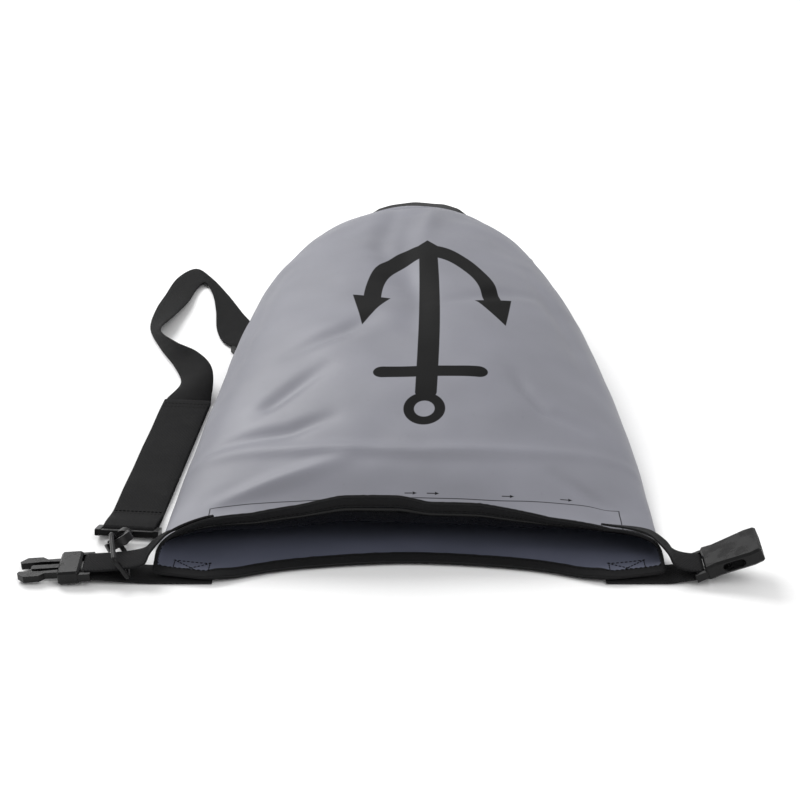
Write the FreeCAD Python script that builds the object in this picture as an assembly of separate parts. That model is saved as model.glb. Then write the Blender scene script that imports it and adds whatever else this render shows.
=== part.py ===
"""A 20 litre roll-top dry bag lying on its back with its mouth open, in millimetres.

X runs along the mouth, Y from the mouth to the base, and Z up from the ground.
The origin is on the ground, in the middle of the flat face that the bag rests on.
"""
import FreeCAD, Part
import math
import os

from FreeCAD import Matrix, Placement, Rotation, Vector

os.makedirs("parts", exist_ok=True)

# ---- driving dimensions -------------------------------------------------

# the coated fabric tube
tube_flat_width = 370.0
tube_length = 572.0
fabric = 1.2
crown_height = 85.0
lip_height = 41.0
lip_dip = 11.5
mouth_height = 10.0
base_tilt = 11.5
base_near_height = 19.2
base_disc_thickness = 1.6
base_flange = 6.0
hump_height = 14.0

# the stiffened, bound lips
binding_depth = 11.0
binding_tape = 1.0
stiffener_width = 20.0
stiffener_thickness = 1.2
lip_set_back = 31.0
rear_set_back = 26.0
lip_stand = 34.0

# webbing
webbing_width = 25.0
webbing_thickness = 1.6
webbing_patch = 42.0
strap_width = 38.0
strap_thickness = 1.6
loop_reach = 107.0
thread = 0.7

# plastic hardware
bar_diameter = 4.0
ring_wire = 3.5
ring_window = 14.0
buckle_length = 51.0
buckle_thickness = 11.0
buckle_wall = 2.4
prong_length = 31.0
hook_bight = 13.0
hook_wire = 4.0
hook_thickness = 6.0
post_diameter = 6.0
pin_diameter = 2.0
gate_travel = 18.0
slider_thickness = 4.6

# clearances
gap = 0.3
running_fit = 0.05
side_play = 0.6

# ---- sizes that follow ----------------------------------------------------

base_radius = tube_flat_width / math.pi
corner_y = -tube_length / 2 - 3
base_y = tube_length / 2 - base_radius * math.cos(math.radians(base_tilt))
base_rise = base_radius * math.sin(math.radians(base_tilt))
base_height = base_near_height + base_rise
mouth_half = 0.482 * tube_flat_width
middle_half = 0.41 * tube_flat_width
rear_lip_middle = corner_y + rear_set_back
loop_radius = bar_diameter / 2 + gap + webbing_thickness / 2
hollow = webbing_width + side_play
rail_count = 19
panel_columns = 32
panel_rows = 44

nodes = {}


def save(name, shape):
    nodes[name] = shape
    shape.exportStep("parts/" + name + ".step")


# ---- solids from sections and from sheets -----------------------------------


def curve_through(points, parameters=None):
    curve = Part.BSplineCurve()
    if parameters:
        curve.interpolate(Points=points, Parameters=parameters)
    else:
        curve.interpolate(points)
    return curve


def ruled(first, second):
    """The surface of straight lines between two curves that share their knots."""
    surface = Part.BSplineSurface()
    surface.buildFromPolesMultsKnots(
        [first.getPoles(), second.getPoles()],
        [2, 2],
        first.getMultiplicities(),
        [0, 1],
        first.getKnots(),
        False,
        False,
        1,
        first.Degree,
    )
    return surface.toShape()


def closed_solid(faces):
    shell = Part.makeShell(faces)
    shell.sewShape(1e-4)
    solid = Part.makeSolid(Part.Shell(shell.Faces) if shell.ShapeType != "Shell" else shell)
    if solid.Volume < 0:
        solid.reverse()
    return solid


def rail_solid(sections):
    """A bar through flat sections with the same number of corners each."""
    corners = len(sections[0])
    middles = [sum(section, Vector()) * (1 / corners) for section in sections]
    along = running_lengths(middles)
    rails = [curve_through([section[i] for section in sections], along) for i in range(corners)]
    faces = [ruled(rails[i], rails[(i + 1) % corners]) for i in range(corners)]
    for section in (sections[0], sections[-1]):
        faces.append(Part.Face(Part.makePolygon(section + [section[0]])))
    return closed_solid(faces)


def strip(stations, width, thickness):
    """Webbing through (centre, direction across, normal) stations."""
    sections = []
    for centre, across, normal in stations:
        a = Vector(across).normalize() * (width / 2)
        n = Vector(normal).normalize() * (thickness / 2)
        sections.append([centre - a - n, centre + a - n, centre + a + n, centre - a + n])
    return rail_solid(sections)


def running_lengths(points):
    """The distance of each point along a chain of points."""
    along = [0.0]
    for before, after in zip(points, points[1:]):
        along.append(along[-1] + (after - before).Length)
    return along


def grid_parameters(rows):
    """Parameters across and along a grid, from its middle row and its middle column."""
    middle = len(rows[0]) // 2
    return running_lengths(rows[len(rows) // 2]), running_lengths([row[middle] for row in rows])


def surface_through(rows, across, along):
    """The smooth surface through a grid, with the given parameters across and along."""
    curves = [curve_through(row, across) for row in rows]
    columns = []
    for poles in zip(*(curve.getPoles() for curve in curves)):
        columns.append(curve_through(list(poles), along))
    surface = Part.BSplineSurface()
    surface.buildFromPolesMultsKnots(
        [column.getPoles() for column in columns],
        curves[0].getMultiplicities(),
        columns[0].getMultiplicities(),
        curves[0].getKnots(),
        columns[0].getKnots(),
        False,
        False,
        curves[0].Degree,
        columns[0].Degree,
    )
    return surface


def sheet_solid(grid, low, high):
    """A sheet between two offsets from a middle surface given as a grid of (point, normal)."""
    parameters = grid_parameters([[p for p, n in row] for row in grid])
    lower = surface_through([[p + n * low for p, n in row] for row in grid], *parameters)
    upper = surface_through([[p + n * high for p, n in row] for row in grid], *parameters)
    faces = [lower.toShape(), upper.toShape()]
    ends = lower.bounds()
    faces += [ruled(lower.uIso(u), upper.uIso(u)) for u in ends[:2]]
    faces += [ruled(lower.vIso(v), upper.vIso(v)) for v in ends[2:]]
    return closed_solid(faces)


def box(x0, x1, y0, y1, z0, z1):
    return Part.makeBox(x1 - x0, y1 - y0, z1 - z0, Vector(x0, y0, z0))


def cylinder(radius, start, direction, length):
    return Part.makeCylinder(radius, length, start, direction)


def rounded(shape, radius, keep):
    """The shape with a fillet on each edge that keep accepts."""
    edges = [edge for edge in shape.Edges if keep(edge)]
    return shape.makeFillet(radius, edges)


def along_z(edge):
    ends = [v.Point for v in edge.Vertexes]
    return len(ends) == 2 and abs((ends[1] - ends[0]).normalize().z) > 0.99


def mirror_x(shape):
    return shape.mirror(Vector(0, 0, 0), Vector(1, 0, 0))


# ---- the fabric tube --------------------------------------------------------

# Each station of the front panel: how far its side edges are from the mouth corners, half its
# width, the height of its edges and of its crown above them, how far its middle sits behind
# its edges, its boxiness (1 is an ellipse, less is squarer), and how squarely its middle is
# set back (1 is an ellipse).
edge_run = base_y - corner_y
base_disc_radius = base_radius - fabric - 2.8
lip_foot = lip_stand * 0.8


def cap_station(short, half, edge_share, rise, set_back_share, boxiness):
    """A station near the base, as shares of the base's radius and of its height."""
    set_back = set_back_share * base_radius
    return (edge_run - short * base_radius, half, edge_share * base_height, rise, set_back, boxiness, 1.0)


front_stations = [
    (0, mouth_half, mouth_height, lip_height, lip_set_back, 1.0, 0.25),
    (lip_foot, mouth_half - 1, mouth_height, lip_dip, lip_set_back - 9, 1.0, 0.3),
    (lip_foot + 17, mouth_half - 2, mouth_height - 1, lip_dip + 0.5, lip_set_back - 10, 1.0, 0.35),
    (lip_foot + 57, mouth_half - 3, 6.0, 0.4 * crown_height, 16, 0.95, 0.5),
    (0.35 * edge_run, mouth_half - 9, 3.0, 0.74 * crown_height, 12, 0.85, 0.8),
    (0.53 * edge_run, middle_half + 9, 2.0, 0.94 * crown_height, 9, 0.8, 1.0),
    (0.705 * edge_run, middle_half, 4.0, crown_height, 13, 0.78, 1.0),
    cap_station(0.726, middle_half - 11, 0.187, crown_height - 3, 0.255, 0.8),
    cap_station(0.445, middle_half - 18, 0.281, crown_height - 7.5, 0.374, 0.85),
    cap_station(0.242, base_radius + 8.9, 0.422, crown_height - 16, 0.56, 0.9),
    cap_station(0.09, base_radius + 3.9, 0.656, base_rise + 27.5, 0.764, 0.95),
    (
        edge_run,
        base_radius + 1.5,
        base_height + fabric + 2.4,
        base_rise,
        base_radius * math.cos(math.radians(base_tilt)) + 1.5,
        1.0,
        1.0,
    ),
]


def front_row(station):
    run, half, edge_z, rise, set_back, boxiness, squareness = station
    row = []
    for i in range(rail_count):
        angle = math.pi * (i / (rail_count - 1) - 0.5)
        side = math.copysign(abs(math.sin(angle)) ** boxiness, angle)
        crown = max(math.cos(angle), 0.0)
        y = corner_y + run + set_back * crown**squareness
        row.append(Vector(half * side, y, edge_z + rise * crown**boxiness))
    return row


front_rows = [front_row(station) for station in front_stations]
front_middle = surface_through(front_rows, *grid_parameters(front_rows))
U0, U1, V0, V1 = front_middle.bounds()


def front_at(u, v):
    """The point and outward normal of the front panel at u across and v along, each 0 to 1."""
    vv = V0 + (V1 - V0) * v
    uu = U0 + (U1 - U0) * u
    normal = front_middle.normal(uu, vv)
    if normal.z < 0:
        normal = normal * -1
    return front_middle.value(uu, vv), normal


def behind_lip(u, distance):
    """How far along v lies the point this distance behind the front lip."""
    v = 0.0
    done = 0.0
    last = front_at(u, 0)[0]
    while done < distance:
        v += 0.002
        here = front_at(u, v)[0]
        done += (here - last).Length
        last = here
    return v


def across_for(x, v):
    """The u where the front panel is this far to the side, by halving."""
    low, high = 0.0, 1.0
    for _ in range(40):
        middle = (low + high) / 2
        if front_at(middle, v)[0].x < x:
            low = middle
        else:
            high = middle
    return (low + high) / 2


def make_front_panel():
    """The panel, with its grid closer near the mouth where it bends most."""
    grid = []
    for k in range(panel_rows + 1):
        v = (k / panel_rows) ** 1.6
        grid.append([front_at(u / panel_columns, v) for u in range(panel_columns + 1)])
    for row in grid:
        for edge in (0, -1):
            point, normal = row[edge]
            row[edge] = (point, Vector(math.copysign(1, point.x), 0, 0))
    return sheet_solid(grid, -fabric / 2, fabric / 2)


def ribbon(points, thickness):
    """A flat polygon in YZ that follows (y, z) points with the given thickness."""
    upper, lower = [], []
    for i, (y, z) in enumerate(points):
        before = Vector(*points[max(i - 1, 0)], 0)
        after = Vector(*points[min(i + 1, len(points) - 1)], 0)
        here = Vector(y, z, 0)
        first = (here - before).normalize() if i else (after - here).normalize()
        second = (after - here).normalize() if i < len(points) - 1 else first
        side = Vector(-(first.y + second.y), first.x + second.x, 0).normalize()
        reach = thickness / 2 / max(side.dot(Vector(-first.y, first.x, 0)), 0.35)
        upper.append(here + side * reach)
        lower.append(here - side * reach)
    return [Vector(0, p.x, p.y) for p in upper + lower[::-1]]


rear_z = webbing_thickness + 2 * gap + fabric / 2 + 0.4
flat_z = fabric / 2
hump_z = hump_height + fabric / 2
fold_z = hump_z + fabric + 1.6
near_rim_y = base_y - base_radius * math.cos(math.radians(base_tilt))
hump_y = near_rim_y - 22
fold_y = near_rim_y + 106
rear_profile = [
    (corner_y - 4, rear_z),
    (rear_lip_middle + binding_depth + stiffener_width + 2, rear_z),
    (rear_lip_middle + binding_depth + stiffener_width + 20, flat_z),
    (hump_y - 26, flat_z),
    (hump_y, hump_z),
    (fold_y - 2, hump_z),
    (fold_y, hump_z + 0.5),
    (fold_y + 0.6, (hump_z + fold_z) / 2),
    (fold_y, fold_z - 0.5),
    (fold_y - 2, fold_z),
    (near_rim_y + 2, fold_z),
]


def rear_half_at(y):
    """Half the width of the rear panel, inside the skirt of the front panel."""
    v = min(max((y - corner_y) / edge_run, 0.0), 1.0)
    halves = [(s[0] / edge_run, s[1]) for s in front_stations]
    for (a, wa), (b, wb) in zip(halves, halves[1:]):
        if v <= b:
            return wa + (wb - wa) * (v - a) / (b - a) - fabric - 1.5
    return halves[-1][1] - fabric - 1.5


def rear_lip_y(x):
    """The edge of the rear lip, set back in the middle and straighter towards its corners."""
    bow = 0.45 * mouth_half
    share = (math.hypot(1, x / bow) - 1) / (math.hypot(1, mouth_half / bow) - 1)
    return corner_y + rear_set_back * (1 - share)


def make_rear_panel():
    profile = ribbon(rear_profile, fabric)
    width = 2 * mouth_half + 10
    face = Part.Face(Part.makePolygon([p + Vector(-width / 2, 0, 0) for p in profile + [profile[0]]]))
    slab = face.extrude(Vector(width, 0, 0))
    left, right = [], []
    for i in range(13):
        y = corner_y + 4 + (fold_y + 4 - corner_y) * i / 12
        left.append(Vector(-rear_half_at(y), y, -1))
        right.append(Vector(rear_half_at(y), y, -1))
    lip = []
    for i in range(15):
        x = rear_half_at(corner_y + 4) * (1 - 2 * i / 14)
        lip.append(Vector(x, rear_lip_y(x) + binding_tape + gap, -1))
    outline = Part.Wire(
        [curve_through(left).toShape(), Part.makeLine(left[-1], right[-1]), curve_through(right[::-1]).toShape()]
        + [Part.makeLine(right[0], lip[0]), curve_through(lip).toShape(), Part.makeLine(lip[-1], left[0])]
    )
    prism = Part.Face(outline).extrude(Vector(0, 0, base_height))
    return slab.common(prism)


def base_place():
    """The base disc leans back: its own +Z becomes the disc's normal."""
    return Placement(Vector(0, base_y, base_height), Rotation(Vector(1, 0, 0), base_tilt))


def make_base_disc():
    low = Vector(0, 0, -base_disc_thickness / 2)
    disc = cylinder(base_disc_radius, low, Vector(0, 0, 1), base_disc_thickness)
    disc.Placement = base_place()
    return disc


def make_base_rim():
    inner = base_disc_radius - base_flange
    outer = base_disc_radius
    low = Vector(0, 0, base_disc_thickness / 2)
    rim = cylinder(outer, low, Vector(0, 0, 1), 1.0).cut(cylinder(inner, low, Vector(0, 0, 1), 1.0))
    rim.Placement = base_place()
    return rim


def make_seam_tape():
    """The welded tape that runs down the inside of the tube, on the rear panel."""
    x = 0.08 * mouth_half
    start = rear_lip_middle + binding_depth + stiffener_width + 26
    end = hump_y - 30
    return box(x - 9, x + 9, start, end, fabric, fabric + 0.5)


# ---- the lips ---------------------------------------------------------------

patch_x = mouth_half - webbing_patch
panel_side = fabric / 2 + gap


def across_range(limit, count):
    return [limit * (2 * i / (count - 1) - 1) for i in range(count)]


def make_front_binding():
    sections = []
    out = panel_side + binding_tape
    for x in across_range(patch_x - 1, 19):
        u = across_for(x, 0)
        point, normal = front_at(u, 0)
        inward = (front_at(u, behind_lip(u, binding_depth))[0] - point).normalize()
        normal = (normal - inward * normal.dot(inward)).normalize()
        outline = [
            (-gap - binding_tape, -out),
            (binding_depth, -out),
            (binding_depth, -panel_side),
            (-gap, -panel_side),
            (-gap, panel_side),
            (binding_depth, panel_side),
            (binding_depth, out),
            (-gap - binding_tape, out),
        ]
        sections.append([point + inward * a + normal * n for a, n in outline])
    return rail_solid(sections)


def make_front_stiffener():
    grid = []
    for i in range(9):
        row = []
        for x in across_range(patch_x + 10, 21):
            u = across_for(x, 0)
            start = binding_depth + 2 * gap + 0.6
            row.append(front_at(u, behind_lip(u, start + stiffener_width * i / 8)))
        grid.append(row)
    return sheet_solid(grid, -panel_side - stiffener_thickness, -panel_side)


def rear_sections(limit, count, outline):
    sections = []
    for x in across_range(limit, count):
        y = rear_lip_y(x)
        sections.append([Vector(x, y + a, rear_z + n) for a, n in outline])
    return sections


def make_rear_binding():
    out = panel_side + binding_tape
    outline = [
        (0, -out),
        (binding_depth, -out),
        (binding_depth, -panel_side),
        (binding_tape, -panel_side),
        (binding_tape, panel_side),
        (binding_depth, panel_side),
        (binding_depth, out),
        (0, out),
    ]
    return rail_solid(rear_sections(patch_x - 1, 19, outline))


def make_rear_stiffener():
    """The strip under the rear lip, on the outside of the bag."""
    start = binding_depth + 1
    near = -panel_side - 0.1
    outline = [
        (start, near - stiffener_thickness),
        (start + stiffener_width, near - stiffener_thickness),
        (start + stiffener_width, near),
        (start, near),
    ]
    return rail_solid(rear_sections(patch_x - 2, 19, outline))


# ---- corner webbing -----------------------------------------------------------

webbing_y = corner_y + webbing_width / 2 - 5.5
left_bar = Vector(-mouth_half - 46, webbing_y, 7.5)
right_bar = Vector(mouth_half + 24, webbing_y, 7.5)


def bend(start, start_way, end, end_way, reach, count):
    """Points and directions along a smooth bend between two points, without its ends."""
    pull, push = start + start_way * reach, end - end_way * reach
    result = []
    for k in range(1, count):
        t = k / count
        point = start * (1 - t) ** 3 + pull * (3 * t * (1 - t) ** 2)
        point = point + push * (3 * t * t * (1 - t)) + end * t**3
        way = (pull - start) * (1 - t) ** 2 + (push - pull) * (2 * t * (1 - t)) + (end - push) * t**2
        result.append((t, point, way.normalize()))
    return result


def corner_webbing(side, bar):
    """From the outside of the front lip, round a buckle's bar and back under the rear lip."""
    stations = []
    along = Vector(0, 1, 0)
    lift = panel_side + webbing_thickness / 2 + 1.5
    for k in range(7):
        u = across_for(side * (patch_x + 1 + 5.2 * k), 0)
        edge, normal = front_at(u, 0)
        under = [front_at(u, behind_lip(u, webbing_width * j / 12))[0] for j in range(1, 13)]
        across = (under[-1] - edge).normalize()
        normal = (normal - across * normal.dot(across)).normalize()
        bulge = max([0.0] + [(point - edge).dot(normal) for point in under])
        stations.append((edge + across * (webbing_width / 2) + normal * (lift + bulge), across, normal))
    first, first_across = stations[-1][:2]
    way = (first - stations[-2][0]).normalize()
    outward = Vector(side, 0, 0)
    top = bar + Vector(0, 0, loop_radius)
    corner = Vector(side * (mouth_half + 4.5), webbing_y, mouth_height + 7.8)
    down = Vector(side * 0.35, 0, -1).normalize()
    for start, leave, end, arrive, reach, count in (
        (first, way, corner, down, 5.0, 4),
        (corner, down, top, outward, 6.0, 8),
    ):
        for t, point, heading in bend(start, leave, end, arrive, reach, count):
            across = first_across * (1 - t) + along * t if start is first else along
            stations.append((point, across, across.cross(heading) * -side))
        if end is corner:
            stations.append((corner, along, along.cross(down) * -side))
    for k in range(13):
        angle = math.radians(90 - 15 * k)
        normal = Vector(side * math.cos(angle), 0, math.sin(angle))
        stations.append((bar + normal * loop_radius, along, normal))
    low = webbing_thickness / 2 + gap + 0.2
    under = Vector(side * (mouth_half + 2), webbing_y, low)
    bottom = bar - Vector(0, 0, loop_radius)
    for t, point, heading in bend(bottom, outward * -1, under, outward * -1, 7.0, 6):
        stations.append((point, along, along.cross(heading) * -side))
    for k in range(8):
        stations.append((under - outward * (k * (webbing_patch + 1) / 7), along, Vector(0, 0, -1)))
    return strip(stations, webbing_width, webbing_thickness)


def make_box_stitches(side):
    """Thread of the box stitch on the webbing patch under the rear lip, inside the bag."""
    z = rear_z + fabric / 2
    x0, x1 = patch_x + 4, patch_x + 24
    y0, y1 = corner_y + 14, corner_y + 26
    shape = None
    pitch = 3.2
    for x in range(int((x1 - x0) / pitch)):
        for y in (y0, y1):
            stitch = box(x0 + x * pitch, x0 + x * pitch + 2.2, y, y + thread, z, z + thread)
            shape = stitch if shape is None else Part.makeCompound(shape.Solids + [stitch])
    return shape if side > 0 else mirror_x(shape)


# ---- side release buckle -----------------------------------------------------

bar_radius = bar_diameter / 2
slot_end = loop_radius + webbing_thickness / 2 + 0.7
body_half = hollow / 2 + buckle_wall + 1.6
mouth_x = buckle_length - 5.0
socket_half = hollow / 2
socket_height = buckle_thickness - 2 * buckle_wall


def legs_and_bar(half):
    """The webbing bar at the origin, between two legs that reach the buckle's body."""
    bar = cylinder(bar_radius, Vector(0, -half, 0), Vector(0, 1, 0), 2 * half)
    legs = None
    for side in (-1, 1):
        inner = side * hollow / 2
        outer = side * half
        leg = box(-bar_radius - 1, slot_end + 1, min(inner, outer), max(inner, outer), -2.8, 2.8)
        legs = leg if legs is None else legs.fuse(leg)
    return bar.fuse(legs)


def make_female():
    outline = [
        (slot_end, -body_half + 1),
        (slot_end + 9, -body_half + 2.4),
        (mouth_x - 8, -body_half - 0.6),
        (mouth_x, -body_half + 0.4),
        (mouth_x, body_half - 0.4),
        (mouth_x - 8, body_half + 0.6),
        (slot_end + 9, body_half - 2.4),
        (slot_end, body_half - 1),
    ]
    half = buckle_thickness / 2
    points = [Vector(x, y, -half) for x, y in outline]
    body = Part.Face(Part.makePolygon(points + [points[0]])).extrude(Vector(0, 0, buckle_thickness))
    body = rounded(body, 1.8, along_z)
    body = body.makeChamfer(1.6, [e for e in body.Edges if e.BoundBox.ZLength < 0.01 and e.Length > 6])
    socket = box(slot_end + 4, mouth_x + 1, -socket_half, socket_half, -socket_height / 2, socket_height / 2)
    body = body.cut(socket)
    for side in (-1, 1):
        window = cylinder(socket_height / 2, Vector(20, 0, 0), Vector(0, side, 0), 30)
        window = window.fuse(cylinder(socket_height / 2, Vector(30, 0, 0), Vector(0, side, 0), 30))
        middle = box(20, 30, min(0, 30 * side), max(0, 30 * side), -socket_height / 2, socket_height / 2)
        body = body.cut(window.fuse(middle))
    return body.fuse(legs_and_bar(body_half - 1)).removeSplitter()


base_end = 20.0
guide_half = 2.6
prong_half = socket_half - 0.8


def make_male():
    half = buckle_thickness / 2 - 0.6
    block = box(slot_end, base_end, -body_half + 1, body_half - 1, -half, half)
    block = rounded(block, 2.2, along_z)
    block = block.makeChamfer(1.4, [e for e in block.Edges if e.BoundBox.ZLength < 0.01 and e.Length > 8])
    guide = box(base_end - 1, base_end + 20, -guide_half, guide_half, -2.2, 2.2)
    guide = rounded(guide, 1.6, along_z)
    return block.fuse(guide).fuse(legs_and_bar(body_half - 1)).removeSplitter()


def make_prong(side):
    """A spring arm with its latch head, starting just past the male body."""
    start = base_end + gap
    end = base_end + prong_length - 2
    outline = [
        (start, prong_half - 6.2),
        (start, prong_half - 2.2),
        (start + 9, prong_half - 2.4),
        (start + 13, prong_half + 1.2),
        (end - 5, prong_half + 1.2),
        (end, prong_half - 4.0),
        (end - 1, prong_half - 6.6),
        (start + 12, prong_half - 5.4),
    ]
    points = [Vector(x, y, -2.4) for x, y in outline]
    arm = Part.Face(Part.makePolygon(points + [points[0]])).extrude(Vector(0, 0, 4.8))
    arm = rounded(arm, 0.8, along_z)
    return arm if side > 0 else arm.mirror(Vector(0, 0, 0), Vector(0, 1, 0))


male_tilt = 4.0
female_tilt = -24.0
male_place = Placement(left_bar, Rotation(Vector(0, 0, 1), 180) * Rotation(Vector(0, 1, 0), male_tilt))
female_place = Placement(right_bar, Rotation(Vector(0, 1, 0), female_tilt))


def placed(shape, place):
    moved = shape.copy()
    moved.Placement = place.multiply(moved.Placement)
    return moved


# ---- ring on the left webbing -----------------------------------------------------

# The webbing sits at the ring's near end, and the snap hook is round the leg at its far end.
leg_seat = 2.9
hook_room = hook_bight / 2 + hook_wire - leg_seat - ring_wire / 2 + 2.0
ring_inner = hollow + hook_room + 1.2
ring_lean = 60.0
ring_skew = 10.0
ring_pitch = ring_window + ring_wire
ring_bar_low = Vector(-mouth_half - 20, webbing_y + hook_room / 2 + 0.3, left_bar.z - 0.6)
ring_place = Placement(
    ring_bar_low,
    Rotation(Vector(0, 0, 1), ring_skew) * Rotation(Vector(0, 1, 0), ring_lean - 90),
)


def make_ring(inner, pitch, wire):
    """A rectangular ring in its own YZ plane: one long bar at the origin, the other above it."""
    half = (inner + wire) / 2
    corner = 2.6
    short = corner * (1 - math.sqrt(0.5))
    quarters = [(-1, 0, 0), (1, 0, 0), (1, pitch, 1), (-1, pitch, 1)]
    ring = None
    for y_side, z_end, top in quarters:
        z_in = z_end + (-corner if top else corner)
        z_short = z_end + (-short if top else short)
        start = Vector(0, y_side * (half - corner), z_end)
        middle = Vector(0, y_side * (half - short), z_short)
        end = Vector(0, y_side * half, z_in)
        path = Part.Wire([Part.Arc(start, middle, end).toShape()])
        section = Part.Wire(Part.makeCircle(wire / 2, start, Vector(0, 1, 0)))
        elbow = path.makePipeShell([section], True, False)
        ring = elbow if ring is None else ring.fuse(elbow)
    for z in (0, pitch):
        ring = ring.fuse(cylinder(wire / 2, Vector(0, -half + corner, z), Vector(0, 1, 0), 2 * (half - corner)))
    for y in (-half, half):
        ring = ring.fuse(cylinder(wire / 2, Vector(0, y, corner), Vector(0, 0, 1), pitch - 2 * corner))
    return ring


# ---- snap hook ------------------------------------------------------------------

# The hook's own frame: the bight at the origin, +X along the swivel to the eye, and Z through
# its thickness. The gate is on the +Y side.
bight_radius = hook_bight / 2
hook_outer = bight_radius + hook_wire
gate_pivot = Vector(bight_radius + 2.4, bight_radius + 1.5, 0)
gate_reach = 4.0
collar_start = hook_outer + 1.5
collar_length = 8.5
collar_radius = post_diameter / 2 + 2.6
head_radius = post_diameter / 2 + 1.4
head_length = 1.8
near_bar_x = collar_start + collar_length + 3.0
eye_bar_x = near_bar_x + bar_diameter + 7.0

ring_leg = ring_place.multVec(Vector(0, (ring_inner + ring_wire) / 2, ring_pitch / 2))
leg_direction = ring_place.Rotation.multVec(Vector(0, 0, 1))
eye_height = strap_thickness + gap + bar_diameter / 2 + 0.6
strap_way = Vector(0.1, 1, 0).normalize()
hook_drop = math.asin((ring_leg.z - eye_height) / (eye_bar_x + leg_seat))
hook_axis = strap_way * math.cos(hook_drop) - Vector(0, 0, math.sin(hook_drop))


def frame_of(origin, x_axis, z_axis):
    """A placement whose X is x_axis and whose Z is as near z_axis as it can be."""
    x = Vector(x_axis).normalize()
    y = Vector(z_axis).cross(x).normalize()
    z = x.cross(y)
    matrix = Matrix(x.x, y.x, z.x, origin.x, x.y, y.y, z.y, origin.y, x.z, y.z, z.z, origin.z, 0, 0, 0, 1)
    return Placement(matrix)


hook_origin = ring_leg + hook_axis * leg_seat
hook_place = frame_of(hook_origin, hook_axis, leg_direction)
eye_place = frame_of(hook_origin, hook_axis, Vector(0, 0, 1))


def make_hook_body():
    half = hook_thickness / 2
    up = Vector(0, 0, 1)
    body = cylinder(hook_outer, Vector(0, 0, -half), up, hook_thickness)
    shank = box(0, collar_start + 1, -7, hook_outer - 0.5, -half, half)
    body = body.fuse(shank)
    body = body.fuse(cylinder(collar_radius, Vector(collar_start - 2, 0, 0), Vector(1, 0, 0), collar_length + 2))
    slot_start = -gate_reach
    slot_finish = gate_pivot.x + 2.4
    body = body.cut(box(slot_start, slot_finish, bight_radius - 1.6, hook_outer + 1, -half - 1, half + 1))
    socket = cylinder(
        post_diameter / 2 + running_fit,
        Vector(collar_start + 3, 0, 0),
        Vector(1, 0, 0),
        collar_length,
    )
    chamber = cylinder(head_radius + running_fit, Vector(collar_start + 1.6, 0, 0), Vector(1, 0, 0), head_length + 0.4)
    body = body.cut(socket).cut(chamber)
    ears = box(gate_pivot.x - 2.4, slot_finish + 1, bight_radius - 1.6, hook_outer - 0.5, -half, half)
    ears = ears.cut(box(gate_pivot.x - 3, slot_finish, bight_radius - 3, hook_outer, -half + 1.4, half - 1.4))
    body = body.fuse(ears)
    body = body.cut(cylinder(bight_radius, Vector(0, 0, -half), up, hook_thickness))
    sweep = math.tan(math.radians(gate_travel + 4))
    swept = [
        (gate_pivot.x - 1.0, bight_radius),
        (gate_pivot.x - 1.0, bight_radius - 1.4),
        (0, bight_radius - 1.4 - gate_pivot.x * sweep),
        (0, bight_radius),
    ]
    points = [Vector(x, y, -half) for x, y in swept]
    body = body.cut(Part.Face(Part.makePolygon(points + [points[0]])).extrude(up * hook_thickness))
    pin_hole = cylinder(pin_diameter / 2, gate_pivot - up * half, up, hook_thickness)
    return body.cut(pin_hole).removeSplitter()


gate_half = hook_thickness / 2 - 1.4 - gap


def make_gate():
    start = gap - gate_reach
    outline = [
        (start, bight_radius - 0.2),
        (start, hook_outer - 0.9),
        (gate_pivot.x, hook_outer - 0.7),
        (gate_pivot.x + 1.8, gate_pivot.y + 0.4),
        (gate_pivot.x + 1.8, gate_pivot.y - 1.0),
        (gate_pivot.x, bight_radius - 0.2),
    ]
    points = [Vector(x, y, -gate_half) for x, y in outline]
    gate = Part.Face(Part.makePolygon(points + [points[0]])).extrude(Vector(0, 0, 2 * gate_half))
    hole = cylinder(pin_diameter / 2 + running_fit, gate_pivot - Vector(0, 0, 5), Vector(0, 0, 1), 10)
    spring_room = box(gate_pivot.x - 2.2, gate_pivot.x + 3, gate_pivot.y - 3, gate_pivot.y + 3, -0.8, 0.8)
    return gate.cut(hole).cut(spring_room)


def make_pin():
    half = hook_thickness / 2
    return cylinder(pin_diameter / 2, gate_pivot - Vector(0, 0, half), Vector(0, 0, 1), hook_thickness)


def make_gate_spring():
    """The coil of the gate's torsion spring, round the pin in the gate's slot."""
    inner = pin_diameter / 2 + 0.08
    coil = cylinder(inner + 0.5, gate_pivot - Vector(0, 0, 0.55), Vector(0, 0, 1), 1.1)
    return coil.cut(cylinder(inner, gate_pivot - Vector(0, 0, 2), Vector(0, 0, 1), 4))


eye_half = (strap_width + side_play) / 2


def make_eye():
    """The rectangular strap eye and the swivel post that turns in the hook's collar."""
    side = 4.0
    near = box(near_bar_x, near_bar_x + 4, -eye_half - side, eye_half + side, -2, 2)
    far = cylinder(bar_diameter / 2, Vector(eye_bar_x, -eye_half - 1, 0), Vector(0, 1, 0), 2 * eye_half + 2)
    eye = near.fuse(far)
    for y in (-eye_half - side, eye_half):
        leg = box(near_bar_x, eye_bar_x + 3.2, y, y + side, -2.4, 2.4)
        eye = eye.fuse(rounded(leg, 1.2, along_z))
    post_start = collar_start + 1.8
    post = cylinder(post_diameter / 2, Vector(post_start, 0, 0), Vector(1, 0, 0), near_bar_x - post_start + 1)
    head = cylinder(head_radius, Vector(post_start, 0, 0), Vector(1, 0, 0), head_length - 0.4)
    return eye.fuse(post).fuse(head).removeSplitter()


# ---- shoulder strap -----------------------------------------------------------------

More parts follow.
